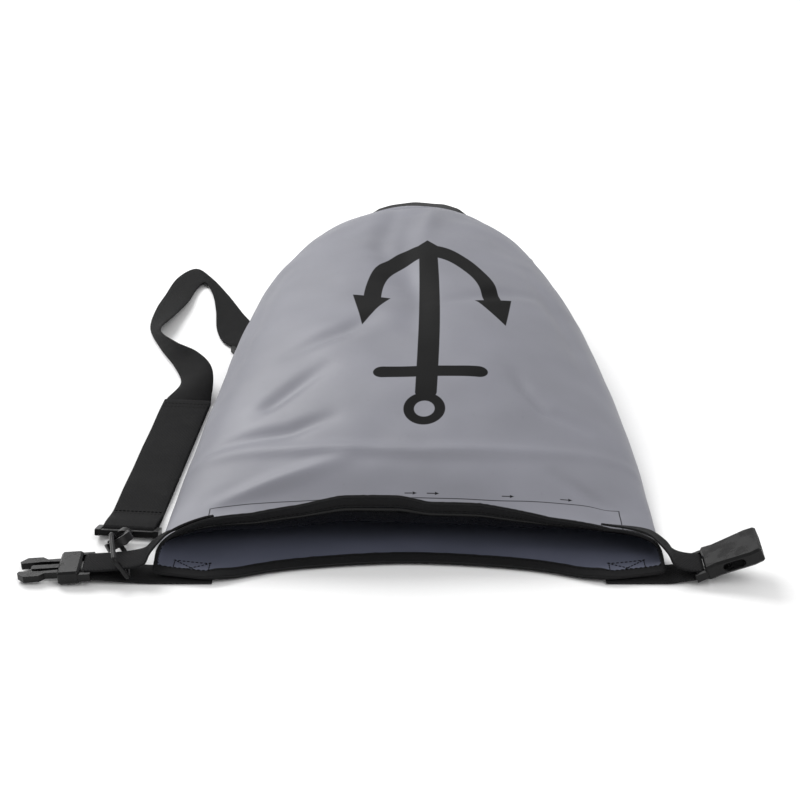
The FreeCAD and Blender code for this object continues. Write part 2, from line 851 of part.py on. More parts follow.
eye_bar = eye_place.multVec(Vector(eye_bar_x, 0, 0))
strap_bend = bar_diameter / 2 + gap + strap_thickness / 2
floor_z = strap_thickness / 2 + 0.1
slider_centre = Vector(-middle_half + 25.7, near_rim_y + 48.8, 0)
hem_length = (slider_centre.y - loop_reach - eye_bar.y) / strap_way.y
hem_across = Vector(strap_way.y, -strap_way.x, 0)
hem_finish = Vector(eye_bar.x, eye_bar.y, 0) + strap_way * hem_length


def make_strap_end():
    """The doubled end: from its cut edge back to the eye, round the bar and forward again."""
    up = Vector(0, 0, 1)
    foot = Vector(eye_bar.x, eye_bar.y, 0)
    upper_z = floor_z + strap_thickness + gap
    bend_start = foot + strap_way * 34 + up * upper_z
    top = eye_bar + up * strap_bend
    bottom = eye_bar - up * strap_bend
    landing = foot + strap_way * 24 + up * floor_z
    stations = []
    for k in range(12):
        share = 1 - k / 11
        stations.append((bend_start + strap_way * ((hem_length - 34) * share), hem_across, up))
    for t, point, heading in bend(bend_start, strap_way * -1, top, strap_way * -1, 12, 7):
        stations.append((point, hem_across, heading.cross(hem_across)))
    for k in range(13):
        angle = math.radians(90 + 15 * k)
        normal = strap_way * math.cos(angle) + up * math.sin(angle)
        stations.append((eye_bar + normal * strap_bend, hem_across, normal))
    for t, point, heading in bend(bottom, strap_way, landing, strap_way, 9, 5):
        stations.append((point, hem_across, heading.cross(hem_across)))
    for k in range(12):
        stations.append((landing + strap_way * ((hem_length - 24) * k / 11), hem_across, up * -1))
    return strip(stations, strap_width, strap_thickness)


# The loop on the ground, as pairs of edge points chosen along the strap: first the edge that
# stays on the ground outside, then the inner edge, which the twist lifts. Each pair is
# measured from its own place on the straight line between the hem's end and the slider.
strap_edges = [
    ((-16.7, 9.0, 1.6), (18.3, 3.0, 4)),
    ((-12.2, 26.1, 3.2), (13.8, 12.1, 24)),
    ((-25.8, 51.2, 2.8), (-4.8, 31.2, 26)),
    ((-45.3, 78.2, 2.8), (-30.3, 50.2, 23)),
    ((-63.8, 113.3, 2.8), (-51.8, 81.3, 17)),
    ((-68.3, 148.4, 2.8), (-48.3, 118.4, 11)),
    ((-67.9, 177.5, 1.6), (-44.9, 149.5, 7)),
    ((-65.4, 208.6, 2.4), (-44.4, 176.6, 4.5)),
    ((-54.9, 221.7, 3.4), (-41.9, 181.7, 4.0)),
    ((-42.4, 188.7, 3.0), (-38.4, 150.7, 3.0)),
    ((-29.0, 139.8, 2.4), (-37.0, 103.8, 2.4)),
    ((-15.5, 84.9, 1.6), (-37.5, 54.9, 1.6)),
    ((-2.0, 38.0, 1.8), (-35.0, 18.0, 1.8)),
]
under_direction = Vector(0.55, -0.835, 0).normalize()
under_across = Vector(-under_direction.y, under_direction.x, 0)
under_z = slider_thickness / 2 + 0.5
strap_patch_length = 36.0
strap_under = 42.0
under_run = [(-22, under_z), (-10, under_z), (2, under_z), (14, under_z), (26, under_z + 0.2)]
under_run += [(34, under_z + 2.4), (strap_under, hump_height - 4.2)]
under_run += [(strap_under + 8, hump_height - 2.4), (strap_under + 20, hump_height - 2.4)]


def make_strap_loop():
    sections = []
    start = hem_finish + strap_way * 0.6 + Vector(0, 0, floor_z)
    side = hem_across * (strap_width / 2)
    edges = [(start - side, start + side)]
    for k, (outer, inner) in enumerate(strap_edges):
        share = k / (len(strap_edges) - 1)
        place = hem_finish * (1 - share) + slider_centre * share
        edges.append((place + Vector(*outer), place + Vector(*inner)))
    middles = [(a + b) / 2 for a, b in edges]
    for i, (outer, inner) in enumerate(edges):
        along = middles[min(i + 1, len(middles) - 1)] - middles[max(i - 1, 0)]
        normal = (inner - outer).cross(along).normalize() * (strap_thickness / 2)
        sections.append([outer - normal, inner - normal, inner + normal, outer + normal])
    half = under_across * (strap_width / 2)
    up = Vector(0, 0, strap_thickness / 2)
    for reach, z in under_run:
        centre = slider_centre + under_direction * reach + Vector(0, 0, z)
        sections.append([centre + half - up, centre - half - up, centre - half + up, centre + half + up])
    return rail_solid(orient_alike(sections))


def orient_alike(sections):
    """Turn each section's corners so that they follow on from the section before."""
    result = [sections[0]]
    for section in sections[1:]:
        turns = [section[k:] + section[:k] for k in range(4)]
        flipped = section[::-1]
        turns += [flipped[k:] + flipped[:k] for k in range(4)]
        last = result[-1]
        result.append(min(turns, key=lambda t: sum((p - q).Length for p, q in zip(t, last))))
    return result


def make_strap_stitches():
    """Two rows of thread across the doubled end, just past the eye."""
    rows = []
    top = floor_z + 1.5 * strap_thickness + gap + 0.04
    turn = Placement(Vector(eye_bar.x, eye_bar.y, 0), Rotation(Vector(0, 1, 0), strap_way))
    for distance in (60, 66):
        for k in range(10):
            start = -16 + k * 3.3
            stitch = box(start, start + 2.3, distance, distance + thread, top, top + thread)
            rows.append(placed(stitch, turn))
    return Part.makeCompound(rows)


slider_half = (strap_width + side_play) / 2


def make_slider():
    """A three-bar slider: the strap runs over its outer bars and under its middle one."""
    side = 3.6
    length = 29.0
    low = -slider_thickness / 2
    outer_bar = slider_thickness / 2 - strap_thickness / 2 - gap
    slider = None
    for y in (-slider_half - side, slider_half):
        leg = box(-length / 2, length / 2, y, y + side, low, slider_thickness / 2)
        leg = rounded(leg, 1.5, along_z)
        slider = leg if slider is None else slider.fuse(leg)
    for x in (-length / 2, length / 2 - 4):
        slider = slider.fuse(box(x, x + 4, -slider_half - 1, slider_half + 1, low, low + outer_bar))
    middle = box(-2, 2, -slider_half - 1, slider_half + 1, slider_thickness / 2 - outer_bar, slider_thickness / 2)
    return slider.fuse(middle).removeSplitter()


slider_place = frame_of(slider_centre + Vector(0, 0, under_z), under_direction, Vector(0, 0, 1))


def make_strap_patch():
    """The reinforcing patch that the strap's far end is sewn to, under the rear panel."""
    length = strap_patch_length
    patch = box(-length / 2, length / 2, -length / 2, length / 2, 0, 1.0)
    patch = rounded(patch, 6, along_z)
    centre = slider_centre + under_direction * (strap_under + 10)
    place = frame_of(Vector(centre.x, centre.y, hump_height - 1.0 - 0.2), under_direction, Vector(0, 0, 1))
    return placed(patch, place)


# ---- the nodes -------------------------------------------------------------------------

save("front_panel", make_front_panel())
save("rear_panel", make_rear_panel())
save("base_disc", make_base_disc())
save("base_rim", make_base_rim())
save("seam_tape", make_seam_tape())
save("front_binding", make_front_binding())
save("rear_binding", make_rear_binding())
save("front_stiffener", make_front_stiffener())
save("rear_stiffener", make_rear_stiffener())
save("left_webbing", corner_webbing(-1, left_bar))
save("right_webbing", corner_webbing(1, right_bar))
save("left_box_stitches", make_box_stitches(-1))
save("right_box_stitches", make_box_stitches(1))
save("buckle_female", placed(make_female(), female_place))
save("buckle_male", placed(make_male(), male_place))
save("buckle_prong_near", placed(make_prong(1), male_place))
save("buckle_prong_far", placed(make_prong(-1), male_place))
save("strap_ring", placed(make_ring(ring_inner, ring_pitch, ring_wire), ring_place))
save("hook_body", placed(make_hook_body(), hook_place))
save("hook_gate", placed(make_gate(), hook_place))
save("hook_pin", placed(make_pin(), hook_place))
save("hook_gate_spring", placed(make_gate_spring(), hook_place))
save("hook_eye", placed(make_eye(), eye_place))
save("strap_end", make_strap_end())
save("strap_stitches", make_strap_stitches())
save("strap_loop", make_strap_loop())
save("strap_slider", placed(make_slider(), slider_place))
save("strap_patch", make_strap_patch())

for name, shape in nodes.items():
    bounds = shape.BoundBox
    low = (round(bounds.XMin, 1), round(bounds.YMin, 1), round(bounds.ZMin, 1))
    high = (round(bounds.XMax, 1), round(bounds.YMax, 1), round(bounds.ZMax, 1))
    print(name, "solids", len(shape.Solids), "valid", shape.isValid(), "volume", round(shape.Volume), low, high)
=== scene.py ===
import math

import bmesh
import bpy
import numpy as np
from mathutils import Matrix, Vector, noise


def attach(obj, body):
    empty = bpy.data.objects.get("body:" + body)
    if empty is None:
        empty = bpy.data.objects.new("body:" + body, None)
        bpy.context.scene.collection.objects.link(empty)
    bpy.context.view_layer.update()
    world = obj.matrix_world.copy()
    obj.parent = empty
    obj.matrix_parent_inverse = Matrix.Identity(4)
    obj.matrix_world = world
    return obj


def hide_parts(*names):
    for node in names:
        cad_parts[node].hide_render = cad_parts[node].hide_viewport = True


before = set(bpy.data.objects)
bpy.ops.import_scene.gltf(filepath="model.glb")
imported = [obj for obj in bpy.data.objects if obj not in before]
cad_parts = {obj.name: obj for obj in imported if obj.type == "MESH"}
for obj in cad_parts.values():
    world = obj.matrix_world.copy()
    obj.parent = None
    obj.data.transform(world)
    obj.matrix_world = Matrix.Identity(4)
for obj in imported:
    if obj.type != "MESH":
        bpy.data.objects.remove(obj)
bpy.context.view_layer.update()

# ---- camera, light and floor -------------------------------------------------

TUBE_GIRTH = 0.740
TUBE_LENGTH = 0.572
FABRIC = 0.0006


def link(obj):
    bpy.context.scene.collection.objects.link(obj)
    return obj


def make_camera():
    data = bpy.data.cameras.new("camera")
    data.sensor_width = 36.0
    data.lens = 95.85
    camera = link(bpy.data.objects.new("camera", data))
    camera.location = (-0.0063, -1.580, 0.750)
    camera.rotation_euler = (math.radians(64.70), 0.0, 0.0)
    bpy.context.scene.camera = camera


def soft_light(name, place, aim, size, watts):
    data = bpy.data.lights.new(name, "AREA")
    data.shape = "DISK"
    data.size = size
    data.energy = watts
    lamp = link(bpy.data.objects.new(name, data))
    lamp.location = place
    way = Vector(aim) - Vector(place)
    lamp.rotation_euler = way.to_track_quat("-Z", "Y").to_euler()


def make_studio(floor_material):
    soft_light("overhead_softbox", (-0.9, 1.0, 1.5), (0.0, 0.0, 0.0), 1.3, 30.0)
    soft_light("front_softbox", (0.9, -1.4, 1.6), (0.0, -0.1, 0.05), 1.6, 16.0)
    world = bpy.data.worlds.new("pale_room")
    world.use_nodes = True
    world.node_tree.nodes["Background"].inputs[0].default_value = (1.0, 1.0, 1.0, 1.0)
    world.node_tree.nodes["Background"].inputs[1].default_value = 0.62
    bpy.context.scene.world = world
    bpy.context.scene.view_settings.view_transform = "Standard"
    half = 4.0
    mesh = bpy.data.meshes.new("floor")
    corners = [(-half, -half, 0), (half, -half, 0), (half, half, 0), (-half, half, 0)]
    mesh.from_pydata([(x, y, -0.0003) for x, y, z in corners], [], [(0, 1, 2, 3)])
    mesh.materials.append(floor_material)
    link(bpy.data.objects.new("floor", mesh))


# ---- node trees --------------------------------------------------------------


class Tree:
    """Short ways to lay out one node tree."""

    def __init__(self, tree):
        self.tree = tree

    def put(self, kind, inputs=(), **settings):
        node = self.tree.nodes.new(kind)
        for name, value in settings.items():
            setattr(node, name, value)
        for name, value in dict(inputs).items():
            self.feed(node.inputs[name], value)
        return node

    def feed(self, socket, value):
        if isinstance(value, bpy.types.NodeSocket):
            self.tree.links.new(value, socket)
        else:
            socket.default_value = value

    def sum(self, operation, first, second=0.0, third=0.0):
        node = self.tree.nodes.new("ShaderNodeMath")
        node.operation = operation
        for socket, value in zip(node.inputs, (first, second, third)):
            self.feed(socket, value)
        return node.outputs[0]

    def blend(self, factor, first, second, mode="MIX"):
        node = self.put("ShaderNodeMix", data_type="RGBA", blend_type=mode)
        for socket, value in zip((node.inputs[0], node.inputs[6], node.inputs[7]), (factor, first, second)):
            self.feed(socket, value)
        return node.outputs[2]

    def ramp(self, value, low, high, to_low=0.0, to_high=1.0):
        node = self.put("ShaderNodeMapRange", {"Value": value, "From Min": low, "From Max": high})
        node.interpolation_type = "SMOOTHSTEP"
        self.feed(node.inputs["To Min"], to_low)
        self.feed(node.inputs["To Max"], to_high)
        return node.outputs[0]


def effect(name, inputs, outputs):
    """A shader node group with named inputs (name, kind, default) and outputs (name, kind)."""
    group = bpy.data.node_groups.new(name, "ShaderNodeTree")
    for label, kind, default in inputs:
        socket = group.interface.new_socket(label, in_out="INPUT", socket_type="NodeSocket" + kind)
        if default is not None:
            socket.default_value = default
    for label, kind in outputs:
        group.interface.new_socket(label, in_out="OUTPUT", socket_type="NodeSocket" + kind)
    tree = Tree(group)
    return group, tree, tree.put("NodeGroupInput").outputs, tree.put("NodeGroupOutput").inputs


def clouds(t, vector, scale, detail):
    """The value of a noise texture."""
    return t.put("ShaderNodeTexNoise", {"Vector": vector, "Scale": scale, "Detail": detail}).outputs[0]


def scrim_effect():
    """The woven scrim that shows faintly through a coated cloth, with its clouding and grime."""
    group, t, given, out = effect(
        "Scrim",
        [("Vector", "Vector", None), ("Thread Pitch", "Float", 0.0011), ("Clouding Size", "Float", 14.0)],
        [("Height", "Float"), ("Clouding", "Float"), ("Specks", "Float")],
    )
    parts = t.put("ShaderNodeSeparateXYZ", {0: given["Vector"]})
    waves = []
    for axis in ("X", "Y"):
        turns = t.sum("DIVIDE", parts.outputs[axis], given["Thread Pitch"])
        waves.append(t.sum("SINE", t.sum("MULTIPLY", turns, 2 * math.pi)))
    weave = t.sum("MULTIPLY", waves[0], waves[1])
    fine = clouds(t, given["Vector"], 900.0, 2.0)
    t.feed(out["Height"], t.sum("MULTIPLY_ADD", fine, 0.8, weave))
    cloud = clouds(t, given["Vector"], given["Clouding Size"], 5.0)
    t.feed(out["Clouding"], t.ramp(cloud, 0.3, 0.7))
    speck = clouds(t, given["Vector"], 260.0, 3.0)
    t.feed(out["Specks"], t.ramp(speck, 0.66, 0.78))
    return group


def rib_effect():
    """Cross ribs of a woven tape or strap, with painted shade in the hollows between them and painted highlight
    on their crowns; X of the vector runs across it and Y along it.
    """
    group, t, given, out = effect(
        "Woven ribs",
        [("Vector", "Vector", None), ("Rib Pitch", "Float", 0.0012), ("Yarn Pitch", "Float", 0.0009)],
        [("Height", "Float"), ("Shade", "Float"), ("Fuzz", "Float")],
    )
    parts = t.put("ShaderNodeSeparateXYZ", {0: given["Vector"]})
    column = t.sum("DIVIDE", parts.outputs["X"], given["Yarn Pitch"])
    stagger = t.sum("MULTIPLY", t.sum("FLOORED_MODULO", t.sum("FLOOR", column), 2.0), 0.5)
    row = t.sum("ADD", t.sum("DIVIDE", parts.outputs["Y"], given["Rib Pitch"]), stagger)
    across = t.sum("ABSOLUTE", t.sum("SINE", t.sum("MULTIPLY", column, math.pi)))
    along = t.sum("ABSOLUTE", t.sum("SINE", t.sum("MULTIPLY", row, math.pi)))
    crown = t.sum("MULTIPLY", t.sum("POWER", across, 0.6), t.sum("POWER", along, 0.6))
    t.feed(out["Height"], crown)
    # Shade: rib crowns light and the hollows between them dark, painted highlight and shade on the weave.
    t.feed(out["Shade"], t.ramp(crown, 0.1, 0.9))
    fuzz = clouds(t, given["Vector"], 700.0, 4.0)
    t.feed(out["Fuzz"], t.ramp(fuzz, 0.5, 0.75))
    return group


def moulding_effect():
    """The fine spark-eroded grain and light scuffs of a moulded plastic part."""
    group, t, given, out = effect(
        "Moulded grain",
        [("Vector", "Vector", None), ("Grain Size", "Float", 2600.0), ("Scuffing", "Float", 0.3)],
        [("Height", "Float"), ("Roughness", "Float"), ("Scuffs", "Float")],
    )
    grain = clouds(t, given["Vector"], given["Grain Size"], 2.0)
    t.feed(out["Height"], grain)
    cloud = clouds(t, given["Vector"], 120.0, 4.0)
    t.feed(out["Roughness"], t.ramp(cloud, 0.3, 0.7, 0.34, 0.52))
    stretch = t.put("ShaderNodeMapping", {"Vector": given["Vector"], "Scale": (60.0, 900.0, 240.0)})
    line = clouds(t, stretch.outputs[0], 1.0, 3.0)
    t.feed(out["Scuffs"], t.sum("MULTIPLY", t.ramp(line, 0.62, 0.72), given["Scuffing"]))
    return group


def wear_effect():
    """Broad patches where handling has polished or dusted a surface."""
    group, t, given, out = effect(
        "Handling wear",
        [("Vector", "Vector", None), ("Patch Size", "Float", 25.0), ("Amount", "Float", 0.4)],
        [("Dust", "Float"), ("Polish", "Float")],
    )
    patch = clouds(t, given["Vector"], given["Patch Size"], 6.0)
    t.feed(out["Dust"], t.sum("MULTIPLY", t.ramp(patch, 0.5, 0.8), given["Amount"]))
    t.feed(out["Polish"], t.sum("MULTIPLY", t.ramp(patch, 0.5, 0.2), given["Amount"]))
    return group


class Shape:
    """Signed distances in the plane of the panel, in metres, as nodes."""

    def __init__(self, t, vector):
        self.t = t
        parts = t.put("ShaderNodeSeparateXYZ", {0: vector})
        self.x, self.y = parts.outputs["X"], parts.outputs["Y"]

    def length(self, x, y):
        t = self.t
        return t.sum("SQRT", t.sum("ADD", t.sum("MULTIPLY", x, x), t.sum("MULTIPLY", y, y)))

    def bar(self, start, end, radius):
        """A straight bar with round ends."""
        t = self.t
        run = (end[0] - start[0], end[1] - start[1])
        size = run[0] ** 2 + run[1] ** 2
        dx, dy = t.sum("SUBTRACT", self.x, start[0]), t.sum("SUBTRACT", self.y, start[1])
        share = t.sum("MULTIPLY_ADD", dx, run[0] / size, t.sum("MULTIPLY", dy, run[1] / size))
        share = t.sum("MINIMUM", t.sum("MAXIMUM", share, 0.0), 1.0)
        dx = t.sum("MULTIPLY_ADD", share, -run[0], dx)
        dy = t.sum("MULTIPLY_ADD", share, -run[1], dy)
        return t.sum("SUBTRACT", self.length(dx, dy), radius)

    def hoop(self, centre, across, tall, width):
        """An oval band of the given width."""
        t = self.t
        dx = t.sum("SUBTRACT", self.x, centre[0])
        dy = t.sum("MULTIPLY", t.sum("SUBTRACT", self.y, centre[1]), across / tall)
        off = t.sum("SUBTRACT", self.length(dx, dy), across)
        return t.sum("SUBTRACT", t.sum("ABSOLUTE", off), width / 2)

    def wedge(self, corners):
        """A convex outline, its corners counter-clockwise."""
        t = self.t
        result = None
        for a, b in zip(corners, corners[1:] + corners[:1]):
            size = math.hypot(b[0] - a[0], b[1] - a[1])
            nx, ny = (b[1] - a[1]) / size, (a[0] - b[0]) / size
            level = t.sum("MULTIPLY_ADD", self.y, ny, -a[0] * nx - a[1] * ny)
            side = t.sum("MULTIPLY_ADD", self.x, nx, level)
            result = side if result is None else t.sum("MAXIMUM", result, side)
        return result

    def join(self, shapes):
        result = shapes[0]
        for shape in shapes[1:]:
            result = self.t.sum("MINIMUM", result, shape)
        return result


def print_effect():
    """The ink on the front panel: a plain anchor, and a thin frame line behind the lip."""
    group, t, given, out = effect(
        "Printed ink", [("Vector", "Vector", None), ("Edge Softness", "Float", 0.0003)], [("Ink", "Float")]
    )
    plane = Shape(t, given["Vector"])
    middle = 0.0145
    ring, crown = (0.0080, 0.1500), (middle, 0.405)
    arms = plane.hoop((middle, 0.302), 0.0460, 0.096, 0.0135)
    arms = t.sum("MAXIMUM", arms, t.sum("SUBTRACT", 0.300, plane.y))
    anchor = [
        plane.hoop(ring, 0.0112, 0.0128, 0.0076),
        plane.bar((ring[0] + 0.0008, 0.168), crown, 0.0078),
        plane.bar((-0.0225, 0.1930), (0.0460, 0.1930), 0.0068),
        arms,
        plane.wedge([(middle + 0.014, 0.402), (middle, 0.424), (middle - 0.014, 0.402)]),
    ]
    for side in (-1, 1):
        hinge = middle + side * 0.046
        tips = [(hinge - side * 0.014, 0.304), (hinge + side * 0.007, 0.264), (hinge + side * 0.015, 0.312)]
        anchor.append(plane.wedge(tips if side > 0 else tips[::-1]))
    box_x = t.sum("SUBTRACT", t.sum("ABSOLUTE", t.sum("SUBTRACT", plane.x, 0.0030)), 0.1470)
    box_y = t.sum("SUBTRACT", t.sum("ABSOLUTE", t.sum("SUBTRACT", plane.y, 0.0360)), 0.0270)
    frame_line = t.sum("SUBTRACT", t.sum("ABSOLUTE", t.sum("MAXIMUM", box_x, box_y)), 0.00035)
    arrows = []
    for x in (-0.004, 0.012, 0.066, 0.108):
        arrows.append(plane.bar((x, 0.0672), (x + 0.006, 0.0672), 0.0004))
        arrows.append(plane.wedge([(x + 0.0055, 0.0658), (x + 0.0085, 0.0672), (x + 0.0055, 0.0686)]))
    shape = plane.join(anchor + [frame_line] + arrows)
    t.feed(out["Ink"], t.ramp(shape, given["Edge Softness"], t.sum("MULTIPLY", given["Edge Softness"], -1.0)))
    return group


EFFECTS = {
    "scrim": scrim_effect(),
    "ribs": rib_effect(),
    "moulding": moulding_effect(),
    "wear": wear_effect(),
    "print": print_effect(),
}


def finish_material(name):
    """A new material with its tree, shader and texture coordinates."""
    material = bpy.data.materials.new(name)
    material.use_nodes = True
    t = Tree(material.node_tree)
    shader = material.node_tree.nodes["Principled BSDF"]
    return material, t, shader, t.put("ShaderNodeTexCoord").outputs


def place_effect(t, name, vector, **values):
    node = t.put("ShaderNodeGroup", node_tree=EFFECTS[name])
    t.feed(node.inputs["Vector"], vector)
    for label, value in values.items():
        t.feed(node.inputs[label.replace("_", " ")], value)
    return node.outputs


def bump(t, shader, height, depth, strength=1.0):
    node = t.put("ShaderNodeBump", {"Height": height, "Strength": strength, "Distance": depth})
    t.feed(shader.inputs["Normal"], node.outputs[0])


def scaled(colour, share):
    """The colour made lighter or darker by a share, fully opaque."""
    return tuple(c * share for c in colour[:3]) + (1.0,)


def coated_cloth(name, clean, clouded, printed=False, roughness=0.5):
    material, t, shader, coords = finish_material(name)
    scrim = place_effect(t, "scrim", coords["UV"], Thread_Pitch=0.0012, Clouding_Size=16.0)
    wear = place_effect(t, "wear", coords["UV"], Patch_Size=9.0, Amount=0.35)
    colour = t.blend(scrim["Clouding"], clean, clouded)
    colour = t.blend(t.sum("MULTIPLY", scrim["Specks"], 0.25), colour, scaled(clean, 0.6))
    rough = t.sum("MULTIPLY_ADD", wear["Polish"], -0.25, roughness)
    if printed:
        ink = place_effect(t, "print", coords["UV"])["Ink"]
        dust = t.blend(wear["Dust"], (0.0045, 0.0045, 0.0047, 1.0), (0.0110, 0.0110, 0.0115, 1.0))
        colour = t.blend(ink, colour, dust)
        rough = t.sum("MULTIPLY_ADD", ink, 0.20, rough)
        t.feed(shader.inputs["Specular IOR Level"], t.sum("MULTIPLY_ADD", ink, -0.34, 0.45))
    t.feed(shader.inputs["Base Color"], colour)
    t.feed(shader.inputs["Roughness"], rough)
    if not printed:
        shader.inputs["Specular IOR Level"].default_value = 0.45
    bump(t, shader, scrim["Height"], 0.00006, 0.45)
    return material


def woven(name, dark, light, rib, yarn, depth, roughness=0.8, sheen=0.015):
    material, t, shader, coords = finish_material(name)
    ribs = place_effect(t, "ribs", coords["UV"], Rib_Pitch=rib, Yarn_Pitch=yarn)
    wear = place_effect(t, "wear", coords["UV"], Patch_Size=40.0, Amount=0.5)
    # Rib crowns take the light colour and the hollows the dark one: painted highlight and shade on the ribs.
    colour = t.blend(ribs["Shade"], dark, light)
    colour = t.blend(t.sum("MULTIPLY", ribs["Fuzz"], 0.35), colour, scaled(light, 2.2))
    colour = t.blend(t.sum("MULTIPLY", wear["Dust"], 0.25), colour, (0.022, 0.0215, 0.021, 1.0))
    t.feed(shader.inputs["Base Color"], colour)
    t.feed(shader.inputs["Roughness"], t.sum("MULTIPLY_ADD", wear["Polish"], -0.2, roughness))
    shader.inputs["Sheen Weight"].default_value = sheen
    shader.inputs["Sheen Roughness"].default_value = 0.45
    shader.inputs["Specular IOR Level"].default_value = 0.12
    bump(t, shader, ribs["Height"], depth, 0.8)
    return material


def moulded(name, colour, scuffing, gloss=0.0, grain=2600.0):
    material, t, shader, coords = finish_material(name)
    grain_out = place_effect(t, "moulding", coords["Object"], Grain_Size=grain, Scuffing=scuffing)
    wear = place_effect(t, "wear", coords["Object"], Patch_Size=90.0, Amount=0.5)
    tint = t.blend(grain_out["Scuffs"], colour, (0.020, 0.020, 0.0205, 1.0))
    tint = t.blend(t.sum("MULTIPLY", wear["Dust"], 0.2), tint, (0.015, 0.015, 0.015, 1.0))
    t.feed(shader.inputs["Base Color"], tint)
    t.feed(shader.inputs["Roughness"], t.sum("ADD", grain_out["Roughness"], -gloss))
    shader.inputs["Specular IOR Level"].default_value = 0.22
    bump(t, shader, grain_out["Height"], 0.00003, 0.35)
    return material


def steel(name):
    material, t, shader, coords = finish_material(name)
    grain = place_effect(t, "moulding", coords["Object"], Grain_Size=4000.0, Scuffing=0.4)
    tint = t.blend(grain["Scuffs"], (0.55, 0.55, 0.56, 1.0), (0.3, 0.3, 0.31, 1.0))
    t.feed(shader.inputs["Base Color"], tint)
    t.feed(shader.inputs["Roughness"], grain["Roughness"])
    shader.inputs["Metallic"].default_value = 1.0
    bump(t, shader, grain["Height"], 0.00002, 0.3)
    return material


def floor_paper(name):
    material, t, shader, coords = finish_material(name)
    grain = clouds(t, coords["Object"], 300.0, 3.0)
    paper = t.blend(grain, (0.93, 0.93, 0.93, 1.0), (0.96, 0.96, 0.96, 1.0))
    t.feed(shader.inputs["Base Color"], paper)
    shader.inputs["Roughness"].default_value = 0.95
    shader.inputs["Specular IOR Level"].default_value = 0.1
    return material


FINISHES = {
    "front_cloth": coated_cloth(
        "grey_coated_cloth_printed", (0.203, 0.205, 0.236, 1), (0.188, 0.190, 0.217, 1), True
    ),
    # The inside is the same grey cloth as the front, painted darker and bluer as shade inside the bag.
    "inside_cloth_painted_shade": coated_cloth(
        "grey_coated_cloth_inside_painted_shade", (0.108, 0.116, 0.160, 1), (0.092, 0.100, 0.138, 1)
    ),
    "base_cloth": coated_cloth(
        "black_coated_cloth", (0.009, 0.009, 0.0095, 1), (0.013, 0.013, 0.0135, 1), False, 0.6
    ),
    # The seam tape's grey is darkened and blued like the inside cloth: painted shade inside the bag.
    "seam_tape": coated_cloth(
        "grey_seam_tape_painted_shade", (0.118, 0.126, 0.170, 1), (0.102, 0.110, 0.148, 1), False, 0.45
    ),
    # The light colours of the woven finishes are painted highlight on the rib crowns.
    "binding": woven(
        "black_grosgrain", (0.0010, 0.0010, 0.0011, 1), (0.0150, 0.0150, 0.0160, 1), 0.0015, 0.0011, 0.00045
    ),
    "webbing": woven(
        "black_webbing", (0.0010, 0.0010, 0.0011, 1), (0.0160, 0.0160, 0.0170, 1), 0.0022, 0.0016, 0.00060
    ),
    "strap": woven(
        "black_strap_webbing", (0.0012, 0.0012, 0.0013, 1), (0.0120, 0.0120, 0.0126, 1), 0.0017, 0.0011, 0.00040
    ),
    "thread": woven(
        "black_thread", (0.0020, 0.0020, 0.0022, 1), (0.0100, 0.0100, 0.0110, 1), 0.0006, 0.0006, 0.0001, 0.6
    ),
    "stiffener": moulded("glossy_black_strip", (0.0035, 0.0035, 0.0038, 1), 0.10, 0.18, 900.0),
    "hook": moulded("black_hook_plastic", (0.0035, 0.0035, 0.0037, 1), 0.18, 0.14),
    "ring": moulded("black_ring_plastic", (0.0035, 0.0035, 0.0037, 1), 0.18, 0.12),
    "buckle": moulded("black_buckle_plastic", (0.0032, 0.0032, 0.0034, 1), 0.16, 0.13),
    "steel": steel("pin_steel"),
    "floor": floor_paper("pale_floor_paper"),
}

# ---- the fabric tube ----------------------------------------------------------

# Along the tube: v, offset, half width, y and z of the side folds, of the crown and of the
# middle underneath, boxiness of the arch, and how squarely its middle is set back.
TUBE_STATIONS = [
    (0.000, 0.0000, 0.1780, -0.2890, 0.0100, -0.2580, 0.0510, -0.2665, 0.0026, 1.00, 0.25),
    (0.060, 0.0005, 0.1770, -0.2618, 0.0100, -0.2398, 0.0215, -0.2390, 0.0024, 1.00, 0.30),
    (0.090, 0.0010, 0.1765, -0.2448, 0.0092, -0.2238, 0.0210, -0.2220, 0.0014, 1.00, 0.35),
    (0.162, 0.0020, 0.1753, -0.2050, 0.0062, -0.1890, 0.0400, -0.1900, 0.0008, 0.95, 0.50),
    (0.296, 0.0040, 0.1693, -0.1281, 0.0035, -0.1161, 0.0660, -0.1050, 0.0008, 0.85, 0.80),
    (0.438, 0.0050, 0.1600, -0.0454, 0.0030, -0.0364, 0.0820, -0.0200, 0.0008, 0.80, 1.00),
    (0.582, 0.0045, 0.1497, 0.0350, 0.0060, 0.0480, 0.0885, 0.0660, 0.0140, 0.78, 1.00),
    (0.698, 0.0035, 0.1385, 0.0851, 0.0120, 0.1151, 0.0895, 0.1350, 0.0145, 0.80, 1.00),
    (0.780, 0.0035, 0.1307, 0.1182, 0.0180, 0.1622, 0.0885, 0.1620, 0.0165, 0.85, 1.00),
    (0.860, 0.0050, 0.1195, 0.1421, 0.0250, 0.2081, 0.0860, 0.1300, 0.0185, 0.90, 1.00),
    (0.935, 0.0060, 0.1125, 0.1600, 0.0330, 0.2500, 0.0790, 0.0900, 0.0190, 1.04, 1.06),
    (1.000, 0.0065, 0.1080, 0.1706, 0.0440, 0.2850, 0.0680, 0.0555, 0.0205, 1.14, 1.14),
]

# How far the front lip sags below its even curve, by distance across.
LIP_SAG = [
    (-0.178, 0.0), (-0.143, 0.0010), (-0.111, 0.0052), (-0.076, 0.0040), (-0.048, -0.0004), (-0.006, 0.0012),
    (0.014, 0.0062), (0.050, 0.0056), (0.100, 0.0108), (0.141, 0.0090), (0.178, 0.0),
]

